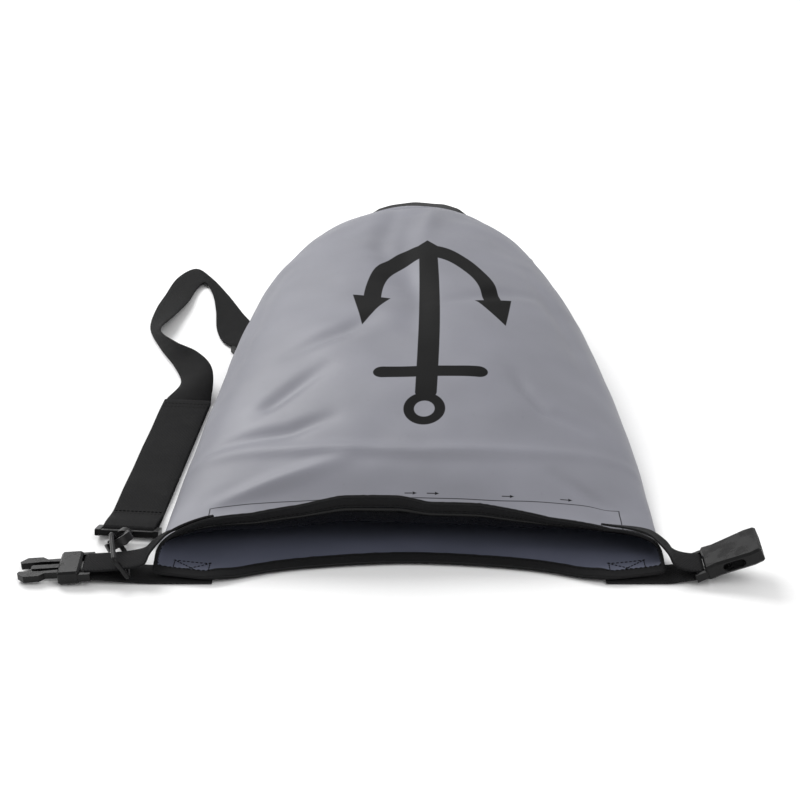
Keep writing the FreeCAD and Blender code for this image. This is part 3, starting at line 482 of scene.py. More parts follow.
# Creases in the front panel: points (across, along) in metres, depth and width.
CREASES = [
    ([(-0.165, 0.126), (-0.080, 0.112), (0.007, 0.105), (0.080, 0.110), (0.165, 0.124)], 0.0016, 0.0060),
    ([(-0.004, 0.500), (-0.006, 0.378), (0.004, 0.300), (0.000, 0.257)], -0.0026, 0.0110),
    ([(-0.017, 0.530), (-0.026, 0.413), (-0.012, 0.336)], -0.0024, 0.0100),
    ([(0.022, 0.520), (0.012, 0.440)], 0.0018, 0.0090),
    ([(-0.112, 0.165), (-0.101, 0.173), (-0.064, 0.206)], -0.0024, 0.0080),
    ([(-0.150, 0.136), (-0.089, 0.134), (-0.060, 0.144)], -0.0022, 0.0070),
    ([(0.072, 0.200), (0.080, 0.180), (0.096, 0.159), (0.126, 0.149)], -0.0022, 0.0060),
    ([(-0.140, 0.068), (-0.105, 0.080), (-0.049, 0.099)], 0.0020, 0.0070),
    ([(0.105, 0.092), (0.147, 0.060)], -0.0022, 0.0060),
    ([(-0.090, 0.232), (-0.050, 0.253), (-0.030, 0.272)], -0.0022, 0.0090),
    ([(-0.052, 0.548), (-0.040, 0.537), (0.021, 0.532)], -0.0024, 0.0032),
    ([(0.052, 0.536), (0.075, 0.541), (0.105, 0.540)], -0.0022, 0.0032),
    ([(0.026, 0.299), (0.060, 0.318), (0.100, 0.338)], -0.0014, 0.0080),
    ([(0.100, 0.400), (0.118, 0.300), (0.130, 0.220)], -0.0016, 0.0090),
    ([(-0.120, 0.420), (-0.130, 0.300), (-0.150, 0.200)], -0.0014, 0.0090),
]


CREASE_SCALE = 1.9


def between(table, x):
    """The value at x in a list of (x, value), along straight lines."""
    return float(np.interp(x, [a for a, b in table], [b for a, b in table]))


def station_at(v):
    """The tube's measures at v, on a smooth curve through the listed stations."""
    k = 0
    while k < len(TUBE_STATIONS) - 2 and v > TUBE_STATIONS[k + 1][0]:
        k += 1
    a, b = TUBE_STATIONS[k], TUBE_STATIONS[k + 1]
    before = TUBE_STATIONS[max(k - 1, 0)]
    after = TUBE_STATIONS[min(k + 2, len(TUBE_STATIONS) - 1)]
    span = b[0] - a[0]
    t = (v - a[0]) / span
    out = []
    for j in range(1, len(a)):
        leaving = (b[j] - before[j]) / (b[0] - before[0]) * span
        arriving = (after[j] - a[j]) / (after[0] - a[0]) * span
        value = (2 * t**3 - 3 * t**2 + 1) * a[j] + (t**3 - 2 * t**2 + t) * leaving
        out.append(value + (3 * t**2 - 2 * t**3) * b[j] + (t**3 - t**2) * arriving)
    return out


def tube_point(turn, v):
    """turn goes 0 to 1 over the top from the left fold to the right, and 1 to 2 back underneath."""
    shift, half, y_fold, z_fold, y_crown, z_crown, y_rear, z_rear, boxy, square = station_at(v)
    if turn <= 1:
        side = math.sin(math.pi * (turn - 0.5))
        rise = max(1 - abs(side) ** (2 / boxy), 0.0) ** 0.5
        x = half * side
        z = z_fold + (z_crown - z_fold) * rise**boxy
        z -= between(LIP_SAG, x) * max(1 - v / 0.10, 0.0) ** 2
        return Vector((x + shift, y_fold + (y_crown - y_fold) * rise**square, z))
    flatness = 0.35 + 0.65 * max(v - 0.7, 0) / 0.3
    side = math.sin(math.pi * (1.5 - turn))
    drop = max(1 - abs(side) ** (2 / flatness), 0.0) ** (flatness / 2)
    x = half * side
    bow = drop if v >= 0.7 else max(1 - (abs(x) / (0.8 * half)) ** 1.7, 0.0)
    y = y_fold + (y_rear - y_fold) * bow
    y -= 0.0050 * math.exp(-(((abs(x) - 0.132) / 0.028) ** 2)) * max(1 - v / 0.15, 0.0)
    z = z_fold + (z_rear - z_fold) * drop
    lift = min(max((abs(x) - 0.118) / 0.020, 0.0), 1.0)
    z += 0.0016 * lift * lift * (3 - 2 * lift) * max(1 - v / 0.12, 0.0)
    return Vector((x + shift, y, z))


def crease_depth(u, v):
    """The outward displacement of the front panel at u across and v along, in metres."""
    total = 0.0
    for points, depth, width in CREASES:
        nearest, place = 1.0, 0.0
        count = len(points) - 1
        for k in range(count):
            ax, ay = points[k]
            bx, by = points[k + 1]
            size = (bx - ax) ** 2 + (by - ay) ** 2
            t = min(max(((u - ax) * (bx - ax) + (v - ay) * (by - ay)) / size, 0.0), 1.0)
            away = math.hypot(u - ax - t * (bx - ax), v - ay - t * (by - ay))
            if away < nearest:
                nearest, place = away, (k + t) / count
        if nearest < 3 * width:
            fade = math.sin(math.pi * (0.12 + 0.76 * place))
            total += CREASE_SCALE * depth * fade * math.exp(-((nearest / width) ** 2))
    return total


TOP_COLUMNS = 132
BOTTOM_COLUMNS = 92
ROWS = 152


def tube_turns():
    over = [k / TOP_COLUMNS for k in range(TOP_COLUMNS)]
    return over + [1 + k / BOTTOM_COLUMNS for k in range(BOTTOM_COLUMNS)]


def tube_grids():
    """Outer points, outward normals and cloth coordinates of the tube, row by row."""
    turns = tube_turns()
    count = len(turns)
    levels = [(i / (ROWS - 1)) ** 1.25 for i in range(ROWS)]
    middle = np.array([[tube_point(turn, v) for turn in turns] for v in levels])
    across = np.roll(middle, -1, axis=1) - np.roll(middle, 1, axis=1)
    along = np.gradient(middle, axis=0)
    normal = np.cross(across, along)
    normal /= np.maximum(np.linalg.norm(normal, axis=2, keepdims=True), 1e-12)
    steps = np.linalg.norm(np.roll(middle, -1, axis=1) - middle, axis=2)
    reach = np.concatenate([np.zeros((ROWS, 1)), np.cumsum(steps, axis=1)], axis=1)
    top = reach[:, TOP_COLUMNS:TOP_COLUMNS + 1]
    total = reach[:, -1:]
    u = np.where(
        np.arange(count + 1)[None, :] <= TOP_COLUMNS,
        (reach / top - 0.5) * TUBE_GIRTH / 2,
        TUBE_GIRTH / 4 + (reach - top) / (total - top) * TUBE_GIRTH / 2,
    )
    outer = middle.copy()
    for i, v in enumerate(levels):
        for j in range(count):
            where = Vector((u[i, j] * 1.0, v * TUBE_LENGTH, 0.37))
            push = 0.0026 * noise.noise(where * 14.0) + 0.0009 * noise.noise(where * 36.0)
            push *= min(v / 0.08, 1.0)
            if j <= TOP_COLUMNS:
                edge = math.sin(math.pi * min(j / TOP_COLUMNS, 1.0)) ** 0.5
                push = push * edge + crease_depth(u[i, j], v * TUBE_LENGTH) * edge
            else:
                push *= 0.25
            outer[i, j] += normal[i, j] * push
            outer[i, j, 2] = max(outer[i, j, 2], 0.0004)
    return outer, normal, u, levels


OUTER, NORMAL, CLOTH_U, LEVELS = tube_grids()


def tube_at(turn, distance):
    """The outer point and outward normal this far behind the lip, measured along the cloth."""
    column = turn * TOP_COLUMNS if turn <= 1 else TOP_COLUMNS + (turn - 1) * BOTTOM_COLUMNS
    low = int(column) % OUTER.shape[1]
    high = (low + 1) % OUTER.shape[1]
    part = column - int(column)
    line = OUTER[:, low] * (1 - part) + OUTER[:, high] * part
    normals = NORMAL[:, low] * (1 - part) + NORMAL[:, high] * part
    reach = np.concatenate([[0.0], np.cumsum(np.linalg.norm(np.diff(line, axis=0), axis=1))])
    point = Vector([float(np.interp(distance, reach, line[:, k])) for k in range(3)])
    normal = Vector([float(np.interp(distance, reach, normals[:, k])) for k in range(3)])
    return point, normal.normalized()


def turn_for(x, underneath=False):
    """The turn where the lip is this far across, by halving."""
    low, high = (1.02, 1.98) if underneath else (0.0, 1.0)
    for _ in range(30):
        middle = (low + high) / 2
        at = tube_point(middle, 0.0).x
        if (at < x) != underneath:
            low = middle
        else:
            high = middle
    return (low + high) / 2


# ---- making meshes ---------------------------------------------------------------


def mesh_piece(name, points, faces, uv, materials, body="bag", slots=None):
    """A smooth mesh from points, faces and a UV pair for each corner of each face."""
    mesh = bpy.data.meshes.new(name)
    mesh.from_pydata([tuple(p) for p in points], [], faces)
    layer = mesh.uv_layers.new(name="Cloth")
    flat = [c for face in uv for pair in face for c in pair]
    layer.data.foreach_set("uv", flat)
    for material in materials:
        mesh.materials.append(material)
    if slots is not None:
        mesh.polygons.foreach_set("material_index", slots)
    mesh.polygons.foreach_set("use_smooth", [True] * len(mesh.polygons))
    mesh.update()
    obj = link(bpy.data.objects.new(name, mesh))
    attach(obj, body)
    return obj


def face_outwards(obj):
    """Makes a closed mesh's faces point away from its inside."""
    work = bmesh.new()
    work.from_mesh(obj.data)
    bmesh.ops.recalc_face_normals(work, faces=work.faces)
    work.to_mesh(obj.data)
    work.free()
    return obj


def weld(obj, distance):
    work = bmesh.new()
    work.from_mesh(obj.data)
    bmesh.ops.remove_doubles(work, verts=work.verts, dist=distance)
    bmesh.ops.recalc_face_normals(work, faces=work.faces)
    work.to_mesh(obj.data)
    work.free()


def make_tube():
    rows, count = OUTER.shape[:2]
    inner = OUTER - NORMAL * FABRIC
    points = list(OUTER.reshape(-1, 3)) + list(inner.reshape(-1, 3))
    shell = rows * count
    faces, uv, slots = [], [], []
    for i in range(rows - 1):
        for j in range(count):
            k = (j + 1) % count
            a, b, c, d = i * count + j, i * count + k, (i + 1) * count + k, (i + 1) * count + j
            corners = ((i, j), (i, j + 1), (i + 1, j + 1), (i + 1, j))
            pairs = [(CLOTH_U[p, q], LEVELS[p] * TUBE_LENGTH) for p, q in corners]
            faces += [(a, b, c, d), (shell + d, shell + c, shell + b, shell + a)]
            uv += [pairs, pairs[::-1]]
            slots += [0, 1]
    for row in (0, rows - 1):
        for j in range(count):
            k = (j + 1) % count
            a, b = row * count + j, row * count + k
            ring = (shell + a, shell + b, b, a)
            faces.append(ring if row == 0 else ring[::-1])
            pair = (CLOTH_U[row, j], LEVELS[row] * TUBE_LENGTH)
            uv.append([pair] * 4)
            slots.append(0)
    # The inner shell takes the darker copy of the grey cloth, which is painted shade.
    tube = mesh_piece(
        "fabric_tube", points, faces, uv, [FINISHES["front_cloth"], FINISHES["inside_cloth_painted_shade"]], "bag", slots
    )
    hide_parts("front_panel", "rear_panel")
    return tube


def closed_lengths(points):
    """The running length round a closed chain of points, back to the first."""
    lengths = [0.0]
    for a, b in zip(points, points[1:] + points[:1]):
        lengths.append(lengths[-1] + math.dist(a, b))
    return lengths


def swept(name, sections, profile_uv, material, caps=True):
    """A skin through sections with the same number of points, UV by (profile, run)."""
    count = len(sections[0])
    points = [p for section in sections for p in section]
    run = [0.0]
    for before, after in zip(sections, sections[1:]):
        step = sum(((b - a).length for a, b in zip(before, after)), 0.0) / count
        run.append(run[-1] + step)
    faces, uv = [], []
    for i in range(len(sections) - 1):
        for j in range(count):
            k = (j + 1) % count
            faces.append((i * count + j, i * count + k, (i + 1) * count + k, (i + 1) * count + j))
            a, b = profile_uv[j], profile_uv[j + 1]
            uv.append([(a, run[i]), (b, run[i]), (b, run[i + 1]), (a, run[i + 1])])
    if caps:
        first = len(sections) - 1
        faces.append(tuple(range(count))[::-1])
        uv.append([(profile_uv[j], run[0]) for j in range(count)][::-1])
        faces.append(tuple(first * count + j for j in range(count)))
        uv.append([(profile_uv[j], run[-1]) for j in range(count)])
    piece = mesh_piece(name, points, faces, uv, [material])
    return face_outwards(piece)


def band_profile(width, thickness):
    """Corners of a strap's section, (across, up), with soft edges and a slightly full middle."""
    half, edge = width / 2, thickness / 2
    across = [-0.97, -0.6, -0.2, 0.2, 0.6, 0.97]
    upper = [(half * a, edge * (1.0 - 0.12 * abs(a) ** 6)) for a in across]
    lower = [(x, -z) for x, z in upper[::-1]]
    side = edge * 0.45
    return upper + [(half, side), (half, -side)] + lower + [(-half, -side), (-half, side)]


def smooth_stations(stations, steps):
    """More (centre, across, normal) stations on a smooth curve through the given ones."""
    result = []
    last = len(stations) - 1
    for i in range(last):
        quad = [stations[max(i - 1, 0)], stations[i], stations[i + 1], stations[min(i + 2, last)]]
        for k in range(steps):
            t = k / steps
            weights = (
                -0.5 * t + t * t - 0.5 * t**3,
                1 - 2.5 * t * t + 1.5 * t**3,
                0.5 * t + 2 * t * t - 1.5 * t**3,
                -0.5 * t * t + 0.5 * t**3,
            )
            result.append([sum((q[j] * w for q, w in zip(quad, weights)), Vector()) for j in range(3)])
    result.append([Vector(part) for part in stations[-1]])
    return result


def band(name, stations, width, thickness, material, steps=3):
    """Webbing through stations of (centre, across, normal)."""
    profile = band_profile(width, thickness)
    sections = []
    for centre, across, normal in smooth_stations(stations, steps):
        across = across.normalized()
        normal = (normal - across * normal.dot(across)).normalized()
        sections.append([centre + across * x + normal * z for x, z in profile])
    return swept(name, sections, closed_lengths(profile), material)


# ---- repeated stitches ---------------------------------------------------------


def stitch_tree():
    """Geometry nodes: a short thread at even steps along each path."""
    tree = bpy.data.node_groups.new("stitch_rows", "GeometryNodeTree")
    face = tree.interface
    face.new_socket("Geometry", in_out="INPUT", socket_type="NodeSocketGeometry")
    for label, value in (("Pitch", 0.0030), ("Stitch Length", 0.0022), ("Thread", 0.0007)):
        face.new_socket(label, in_out="INPUT", socket_type="NodeSocketFloat").default_value = value
    face.new_socket("Material", in_out="INPUT", socket_type="NodeSocketMaterial")
    face.new_socket("Geometry", in_out="OUTPUT", socket_type="NodeSocketGeometry")
    t = Tree(tree)
    given = t.put("NodeGroupInput").outputs
    path = t.put("GeometryNodeMeshToCurve", {"Mesh": given["Geometry"]})
    spaced = t.put("GeometryNodeResampleCurve", {"Curve": path.outputs[0]}, mode="LENGTH")
    t.feed(spaced.inputs["Length"], given["Pitch"])
    tangent = t.put("GeometryNodeInputTangent")
    turned = t.put("FunctionNodeAlignRotationToVector", {"Vector": tangent.outputs[0]}, axis="X")
    bead = t.put("GeometryNodeMeshIcoSphere", {"Radius": 0.5, "Subdivisions": 2})
    thickness = given["Thread"]
    size = t.put("ShaderNodeCombineXYZ", {"X": given["Stitch Length"], "Y": thickness, "Z": thickness})
    thread = t.put("GeometryNodeTransform", {"Geometry": bead.outputs[0], "Scale": size.outputs[0]})
    rows = t.put("GeometryNodeInstanceOnPoints", {"Points": spaced.outputs[0], "Instance": thread.outputs[0]})
    t.feed(rows.inputs["Rotation"], turned.outputs[0])
    real = t.put("GeometryNodeRealizeInstances", {"Geometry": rows.outputs[0]})
    smooth = t.put("GeometryNodeSetShadeSmooth", {"Geometry": real.outputs[0]})
    painted = t.put("GeometryNodeSetMaterial", {"Geometry": smooth.outputs[0], "Material": given["Material"]})
    t.put("NodeGroupOutput", {"Geometry": painted.outputs[0]})
    return tree


STITCH_TREE = stitch_tree()


def stitch_rows(name, paths, pitch=0.0030, length=0.0022, thread=0.0007, body="bag"):
    """One piece of thread stitches along several open paths."""
    mesh = bpy.data.meshes.new(name)
    points, edges = [], []
    for path in paths:
        start = len(points)
        points += [tuple(p) for p in path]
        edges += [(start + k, start + k + 1) for k in range(len(path) - 1)]
    mesh.from_pydata(points, edges, [])
    guide = link(bpy.data.objects.new(name + "_guide", mesh))
    modifier = guide.modifiers.new("rows", "NODES")
    modifier.node_group = STITCH_TREE
    given = [item for item in STITCH_TREE.interface.items_tree if item.in_out == "INPUT"]
    sockets = {item.name: item.identifier for item in given}
    modifier[sockets["Pitch"]] = pitch
    modifier[sockets["Stitch Length"]] = length
    modifier[sockets["Thread"]] = thread
    modifier[sockets["Material"]] = FINISHES["thread"]
    made = bpy.data.meshes.new_from_object(guide.evaluated_get(bpy.context.evaluated_depsgraph_get()))
    guide.modifiers.remove(modifier)
    bpy.data.objects.remove(guide)
    piece = link(bpy.data.objects.new(name, made))
    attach(piece, body)
    return piece


# ---- bound and stiffened lips ----------------------------------------------------

BINDING_DEPTH = 0.011
BINDING_TAPE = 0.0010
PATCH_X = 0.13634


def lip_frame(turn):
    """Edge point, way into the cloth and outward normal of the lip at this turn."""
    edge, _ = tube_at(turn, 0.0)
    deep, normal = tube_at(turn, BINDING_DEPTH)
    inward = (deep - edge).normalized()
    normal = (normal - inward * normal.dot(inward)).normalized()
    return edge, inward, normal


def binding_outline(thick, depth):
    """The folded tape's section: (into the cloth, outwards), outer face first and then the inner."""
    out = FABRIC / 2 + 0.0003
    outline = [(depth, out), (depth + 0.0002, out + thick * 0.6), (depth - 0.0004, out + thick)]
    outline += [(depth * 0.74, out + thick * 0.88), (depth * 0.4, out + thick), (0.001, out + thick * 1.05)]
    for i in range(1, 6):
        angle = math.pi * (0.5 - i / 6)
        outline.append((-(0.0004 + thick) * math.cos(angle), (out + thick) * math.sin(angle)))
    outline += [(0.001, -out - thick * 1.05), (depth * 0.4, -out - thick)]
    outline += [(depth * 0.74, -out - thick * 0.88)]
    outline += [(depth - 0.0004, -out - thick), (depth + 0.0002, -out - thick * 0.6), (depth, -out)]
    outline += [(0.0, -out), (-0.0003, 0.0), (0.0, out)]
    return outline


def mouth_binding():
    """Grosgrain folded round the whole lip, with a rolled edge and a slight pucker at each stitch."""
    sections = []
    steps = 420
    for k in range(steps):
        turn = 2 * k / steps
        edge, inward, normal = lip_frame(turn)
        core = edge - normal * FABRIC / 2
        beyond = min(max((abs(core.x) - PATCH_X) / 0.006, 0.0), 1.0)
        thick = BINDING_TAPE * (1 - 0.45 * beyond) + 0.00022 * noise.noise(Vector((k * 0.9, 4.0, 0.0)))
        depth = BINDING_DEPTH * (1 - 0.2 * beyond) + 0.0006 * noise.noise(Vector((k * 0.35, 2.0, 7.0)))
        outline = binding_outline(thick, depth)
        sections.append([core + inward * a + normal * n for a, n in outline])
    sections.append(sections[0])
    piece = swept("mouth_binding_tape", sections, closed_lengths(outline), FINISHES["binding"], caps=False)
    weld(piece, 0.000001)
    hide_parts("front_binding", "rear_binding")
    paths = []
    for side in (1, -1):
        path = []
        for k in range(321):
            edge, inward, normal = lip_frame(2 * k / 320)
            if abs(edge.x) > PATCH_X - 0.002 and side > 0:
                if len(path) > 1:
                    paths.append(path)
                path = []
                continue
            path.append(edge - normal * FABRIC / 2 + inward * 0.0080 + normal * side * 0.0016)
        paths.append(path)
    stitch_rows("mouth_binding_stitches", [p for p in paths if len(p) > 1], 0.0034, 0.0024, 0.0006)
    return piece


def lip_stiffener(name, underneath, node):
    """A glossy strip welded to the lip behind the binding: inside in front, outside at the rear."""
    start, width, thick = 0.0124, 0.020, 0.0012
    gap = 0.00025
    sections = []
    steps = 130
    reach = PATCH_X - 0.002 if underneath else 0.172
    for k in range(steps + 1):
        x = reach * (2 * k / steps - 1)
        turn = turn_for(x, underneath)
        narrow = min(max((abs(x) - 0.110) / 0.062, 0.0), 1.0) * (0.0 if underneath else 1.0)
        begin = start - 0.0030 * narrow
        upper, lower = [], []
        for i in range(9):
            point, normal = tube_at(turn, begin + width * (1 - 0.62 * narrow) * i / 8)
            slim = 0.35 if i in (0, 8) else 1.0
            if underneath:
                face = point + normal * gap
                upper.append(face + normal * thick * slim)
                lower.append(face)
            else:
                face = point - normal * (FABRIC + gap)
                upper.append(face)
                lower.append(face - normal * thick * slim)
        sections.append(upper + lower[::-1])
    piece = swept(name, sections, closed_lengths(sections[0]), FINISHES["stiffener"])
    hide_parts(node)
    return piece


def make_lips():
    mouth_binding()
    lip_stiffener("front_lip_stiffener", False, "front_stiffener")
    lip_stiffener("rear_lip_stiffener", True, "rear_stiffener")


# ---- corner webbing ----------------------------------------------------------------

WEBBING_WIDTH = 0.025
WEBBING_THICK = 0.0016
WEBBING_Y = -0.2820
LEFT_BAR = Vector((-0.22434, WEBBING_Y, 0.0075))
RIGHT_BAR = Vector((0.20234, WEBBING_Y, 0.0075))
LOOP_RADIUS = 0.0031


def bend(start, leave, end, arrive, reach, count):
    """Points and directions along a smooth bend between two points, without its ends."""
    pull, push = start + leave * reach, end - arrive * reach
    result = []
    for k in range(1, count):
        t = k / count
        point = start * (1 - t) ** 3 + pull * (3 * t * (1 - t) ** 2)
        point = point + push * (3 * t * t * (1 - t)) + end * t**3
        way = (pull - start) * (1 - t) ** 2 + (push - pull) * (2 * t * (1 - t)) + (end - push) * t**2
        result.append((t, point, way.normalized()))
    return result


def corner_webbing(name, side, bar, node):
    """From the outside of the front lip, round a buckle's bar and back under the rear lip."""
    along = Vector((0, 1, 0))
    outward = Vector((side, 0, 0))
    stations = []
    for k in range(7):
        turn = turn_for(side * (PATCH_X + 0.001 + 0.0052 * k))
        edge, normal = tube_at(turn, 0.0)
        under = [tube_at(turn, WEBBING_WIDTH * j / 6)[0] for j in range(1, 7)]
        across = (under[-1] - edge).normalized()
        normal = (normal - across * normal.dot(across)).normalized()
        bulge = max([0.0] + [(p - edge).dot(normal) for p in under])
        stations.append((edge + across * (WEBBING_WIDTH / 2) + normal * (0.0024 + bulge), across, normal))
    first, first_across = stations[-1][:2]
    way = (first - stations[-2][0]).normalized()
    top = bar + Vector((0, 0, LOOP_RADIUS))
    corner = Vector((side * 0.18284, WEBBING_Y, 0.0178))
    down = Vector((side * 0.35, 0, -1)).normalized()
    runs = ((first, way, corner, down, 0.005, 4), (corner, down, top, outward, 0.006, 8))
    for start, leave, end, arrive, reach, count in runs:
        for t, point, heading in bend(start, leave, end, arrive, reach, count):
            across = first_across * (1 - t) + along * t if start is first else along
            stations.append((point, across, across.cross(heading) * -side))
        if end is corner:
            stations.append((corner, along, along.cross(down) * -side))
    for k in range(13):
        angle = math.radians(90 - 15 * k)
        normal = Vector((side * math.cos(angle), 0, math.sin(angle)))
        stations.append((bar + normal * LOOP_RADIUS, along, normal))
    under = Vector((side * 0.18034, WEBBING_Y, 0.0013))
    bottom = bar - Vector((0, 0, LOOP_RADIUS))
    for t, point, heading in bend(bottom, outward * -1, under, outward * -1, 0.007, 6):
        stations.append((point, along, along.cross(heading) * -side))
    for k in range(8):
        stations.append((under - outward * (k * 0.043 / 7), along, Vector((0, 0, -1))))
    piece = band(name, stations, WEBBING_WIDTH, WEBBING_THICK, FINISHES["webbing"])
    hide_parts(node)
    return piece


def box_stitches(name, side, node):
    """A box with a cross in it, sewn through the webbing, seen inside the rear lip."""
    def on_cloth(x, distance):
        point, normal = tube_at(turn_for(side * x, True), distance)
        return point - normal * (FABRIC + 0.0002)

    x0, x1, d0, d1 = 0.141, 0.166, 0.0030, 0.0205
    corners = [(x0, d0), (x1, d0), (x1, d1), (x0, d1)]
    runs = list(zip(corners, corners[1:] + corners[:1]))
    runs += [(corners[0], corners[2]), (corners[1], corners[3])]
    paths = []
    for (xa, da), (xb, db) in runs:
        paths.append([on_cloth(xa + (xb - xa) * t / 10, da + (db - da) * t / 10) for t in range(11)])
    piece = stitch_rows(name, paths, 0.0028, 0.0024, 0.0008)
    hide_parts(node)
    return piece


# ---- shoulder strap ------------------------------------------------------------------

STRAP_WIDTH = 0.038
STRAP_THICK = 0.0016
EYE_BAR = Vector((-0.20237, -0.22388, 0.0045))
STRAP_WAY = Vector((0.0995, 0.99504, 0.0))
STRAP_ACROSS = Vector((0.99504, -0.0995, 0.0))
STRAP_BEND = 0.0031
FLOOR_Z = 0.0009
HEM_LENGTH = 0.222


def make_strap_end():
    """The doubled end: from its cut edge back to the eye, round the bar and forward again."""
    up = Vector((0, 0, 1))
    foot = Vector((EYE_BAR.x, EYE_BAR.y, 0))
    bend_start = foot + STRAP_WAY * 0.034 + up * (FLOOR_Z + STRAP_THICK + 0.0003)
    landing = foot + STRAP_WAY * 0.024 + up * FLOOR_Z
    stations = []
    for k in range(16):
        share = 1 - k / 15
        lift = 0.0011 * share + 0.0006 * math.sin(9 * share) ** 2
        along = STRAP_WAY * ((HEM_LENGTH - 0.034) * share)
        stations.append((bend_start + along + up * lift, STRAP_ACROSS, up))
    top, bottom = EYE_BAR + up * STRAP_BEND, EYE_BAR - up * STRAP_BEND
    for t, point, heading in bend(bend_start, STRAP_WAY * -1, top, STRAP_WAY * -1, 0.012, 6):
        stations.append((point, STRAP_ACROSS, heading.cross(STRAP_ACROSS)))
    for k in range(13):
        angle = math.radians(90 + 15 * k)
        normal = STRAP_WAY * math.cos(angle) + up * math.sin(angle)
        stations.append((EYE_BAR + normal * STRAP_BEND, STRAP_ACROSS, normal))
    for t, point, heading in bend(bottom, STRAP_WAY, landing, STRAP_WAY, 0.009, 5):
        stations.append((point, STRAP_ACROSS, heading.cross(STRAP_ACROSS)))
    for k in range(12):
        stations.append((landing + STRAP_WAY * ((HEM_LENGTH - 0.024) * k / 11), STRAP_ACROSS, up * -1))
    piece = band("strap_doubled_end", stations, STRAP_WIDTH, STRAP_THICK, FINISHES["strap"])
    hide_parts("strap_end")
    paths = []
    for distance in (0.026, 0.030, 0.208, 0.214):
        lift = FLOOR_Z + 1.5 * STRAP_THICK + 0.0003 + (0.0014 if distance > 0.1 else 0.0005)
        row = foot + STRAP_WAY * distance + up * lift
        paths.append([row + STRAP_ACROSS * (-0.0165 + 0.0033 * k) for k in range(11)])
    stitches = stitch_rows("strap_end_stitches", paths, 0.0030, 0.0024, 0.0008)
    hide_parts("strap_stitches")
    return piece


# The loose loop, as pairs of edge points: first the outer edge, then the inner edge.
STRAP_EDGES = [
    ((-0.1970, 0.0060, 0.0016), (-0.1620, 0.0000, 0.0060)),
    ((-0.1885, 0.0320, 0.0030), (-0.1620, 0.0180, 0.0240)),
    ((-0.1970, 0.0660, 0.0028), (-0.1760, 0.0460, 0.0260)),
    ((-0.2120, 0.1020, 0.0028), (-0.1970, 0.0740, 0.0230)),
    ((-0.2260, 0.1460, 0.0028), (-0.2140, 0.1140, 0.0170)),
    ((-0.2260, 0.1900, 0.0028), (-0.2060, 0.1600, 0.0110)),
    ((-0.2210, 0.2280, 0.0016), (-0.1980, 0.2000, 0.0070)),
    ((-0.2140, 0.2680, 0.0024), (-0.1930, 0.2360, 0.0045)),
    ((-0.1990, 0.2900, 0.0034), (-0.1860, 0.2500, 0.0040)),
    ((-0.1820, 0.2660, 0.0030), (-0.1780, 0.2280, 0.0030)),
    ((-0.1640, 0.2260, 0.0024), (-0.1720, 0.1900, 0.0024)),
    ((-0.1460, 0.1800, 0.0016), (-0.1680, 0.1500, 0.0016)),
    ((-0.1280, 0.1420, 0.0018), (-0.1610, 0.1220, 0.0018)),
]
SLIDER_CENTRE = Vector((-0.126, 0.104, 0.0))
UNDER_WAY = Vector((0.55008, -0.83511, 0.0))
UNDER_ACROSS = Vector((0.83511, 0.55008, 0.0))
UNDER_RUN = [
    (-0.022, 0.0028), (-0.010, 0.0028), (0.002, 0.0028), (0.014, 0.0028), (0.026, 0.0030),
    (0.034, 0.0052), (0.042, 0.0098), (0.050, 0.0116), (0.062, 0.0116),
]


def make_strap_loop():
    start = EYE_BAR + STRAP_WAY * (HEM_LENGTH + 0.0006)
    start.z = FLOOR_Z
    half = STRAP_ACROSS * (STRAP_WIDTH / 2)
    pairs = [(start - half, start + half)] + [(Vector(a), Vector(b)) for a, b in STRAP_EDGES]
    half = UNDER_ACROSS * (STRAP_WIDTH / 2)
    for reach, z in UNDER_RUN:
        centre = SLIDER_CENTRE + UNDER_WAY * reach + Vector((0, 0, z))
        pairs.append((centre + half, centre - half))
    middles = [(a + b) / 2 for a, b in pairs]
    stations = []
    for i, (a, b) in enumerate(pairs):
        along = middles[min(i + 1, len(middles) - 1)] - middles[max(i - 1, 0)]
        across = (b - a).normalized()
        stations.append((middles[i], across, across.cross(along).normalized()))
    piece = band("strap_loose_loop", stations, STRAP_WIDTH, STRAP_THICK, FINISHES["strap"], 7)
    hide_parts("strap_loop")
    return piece


def make_strap_patch():
    """The rounded patch under the rear panel, with the strap's end sewn on it."""
    centre = SLIDER_CENTRE + UNDER_WAY * 0.052
    half, corner, low, high = 0.018, 0.006, 0.0126, 0.0136
    outline = []
    for cx, cy, start in ((1, 1, 0), (-1, 1, 90), (-1, -1, 180), (1, -1, 270)):
        for k in range(7):
            angle = math.radians(start + 15 * k)
            x = cx * (half - corner) + corner * math.cos(angle)
            y = cy * (half - corner) + corner * math.sin(angle)
            outline.append((x, y))
    sections = []
    for inset, z in ((0.0, low + 0.0002), (0.0, high - 0.0002), (0.0004, high)):
        scale = 1 - inset / half
        rise = Vector((0, 0, z))
        sections.append(
            [centre + UNDER_WAY * (x * scale) + UNDER_ACROSS * (y * scale) + rise for x, y in outline]
        )
    sections.insert(0, [p + Vector((0, 0, -0.0002)) for p in sections[0]])
    lengths = [0.002 * k for k in range(len(outline) + 1)]
    piece = swept("strap_anchor_patch", sections, lengths, FINISHES["base_cloth"])
    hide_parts("strap_patch")
    paths = []
    for reach in (0.044, 0.058):
        row = SLIDER_CENTRE + UNDER_WAY * reach + Vector((0, 0, 0.0106))
        paths.append([row + UNDER_ACROSS * (0.0028 * k) for k in range(-6, 7)])
    stitch_rows("strap_anchor_stitches", paths, 0.0028, 0.0022, 0.0007)
    return piece


# ---- base and seam --------------------------------------------------------------------


def rim_line():
    """Points round the far end of the tube's outside."""
    return [Vector(p) for p in OUTER[-1]]


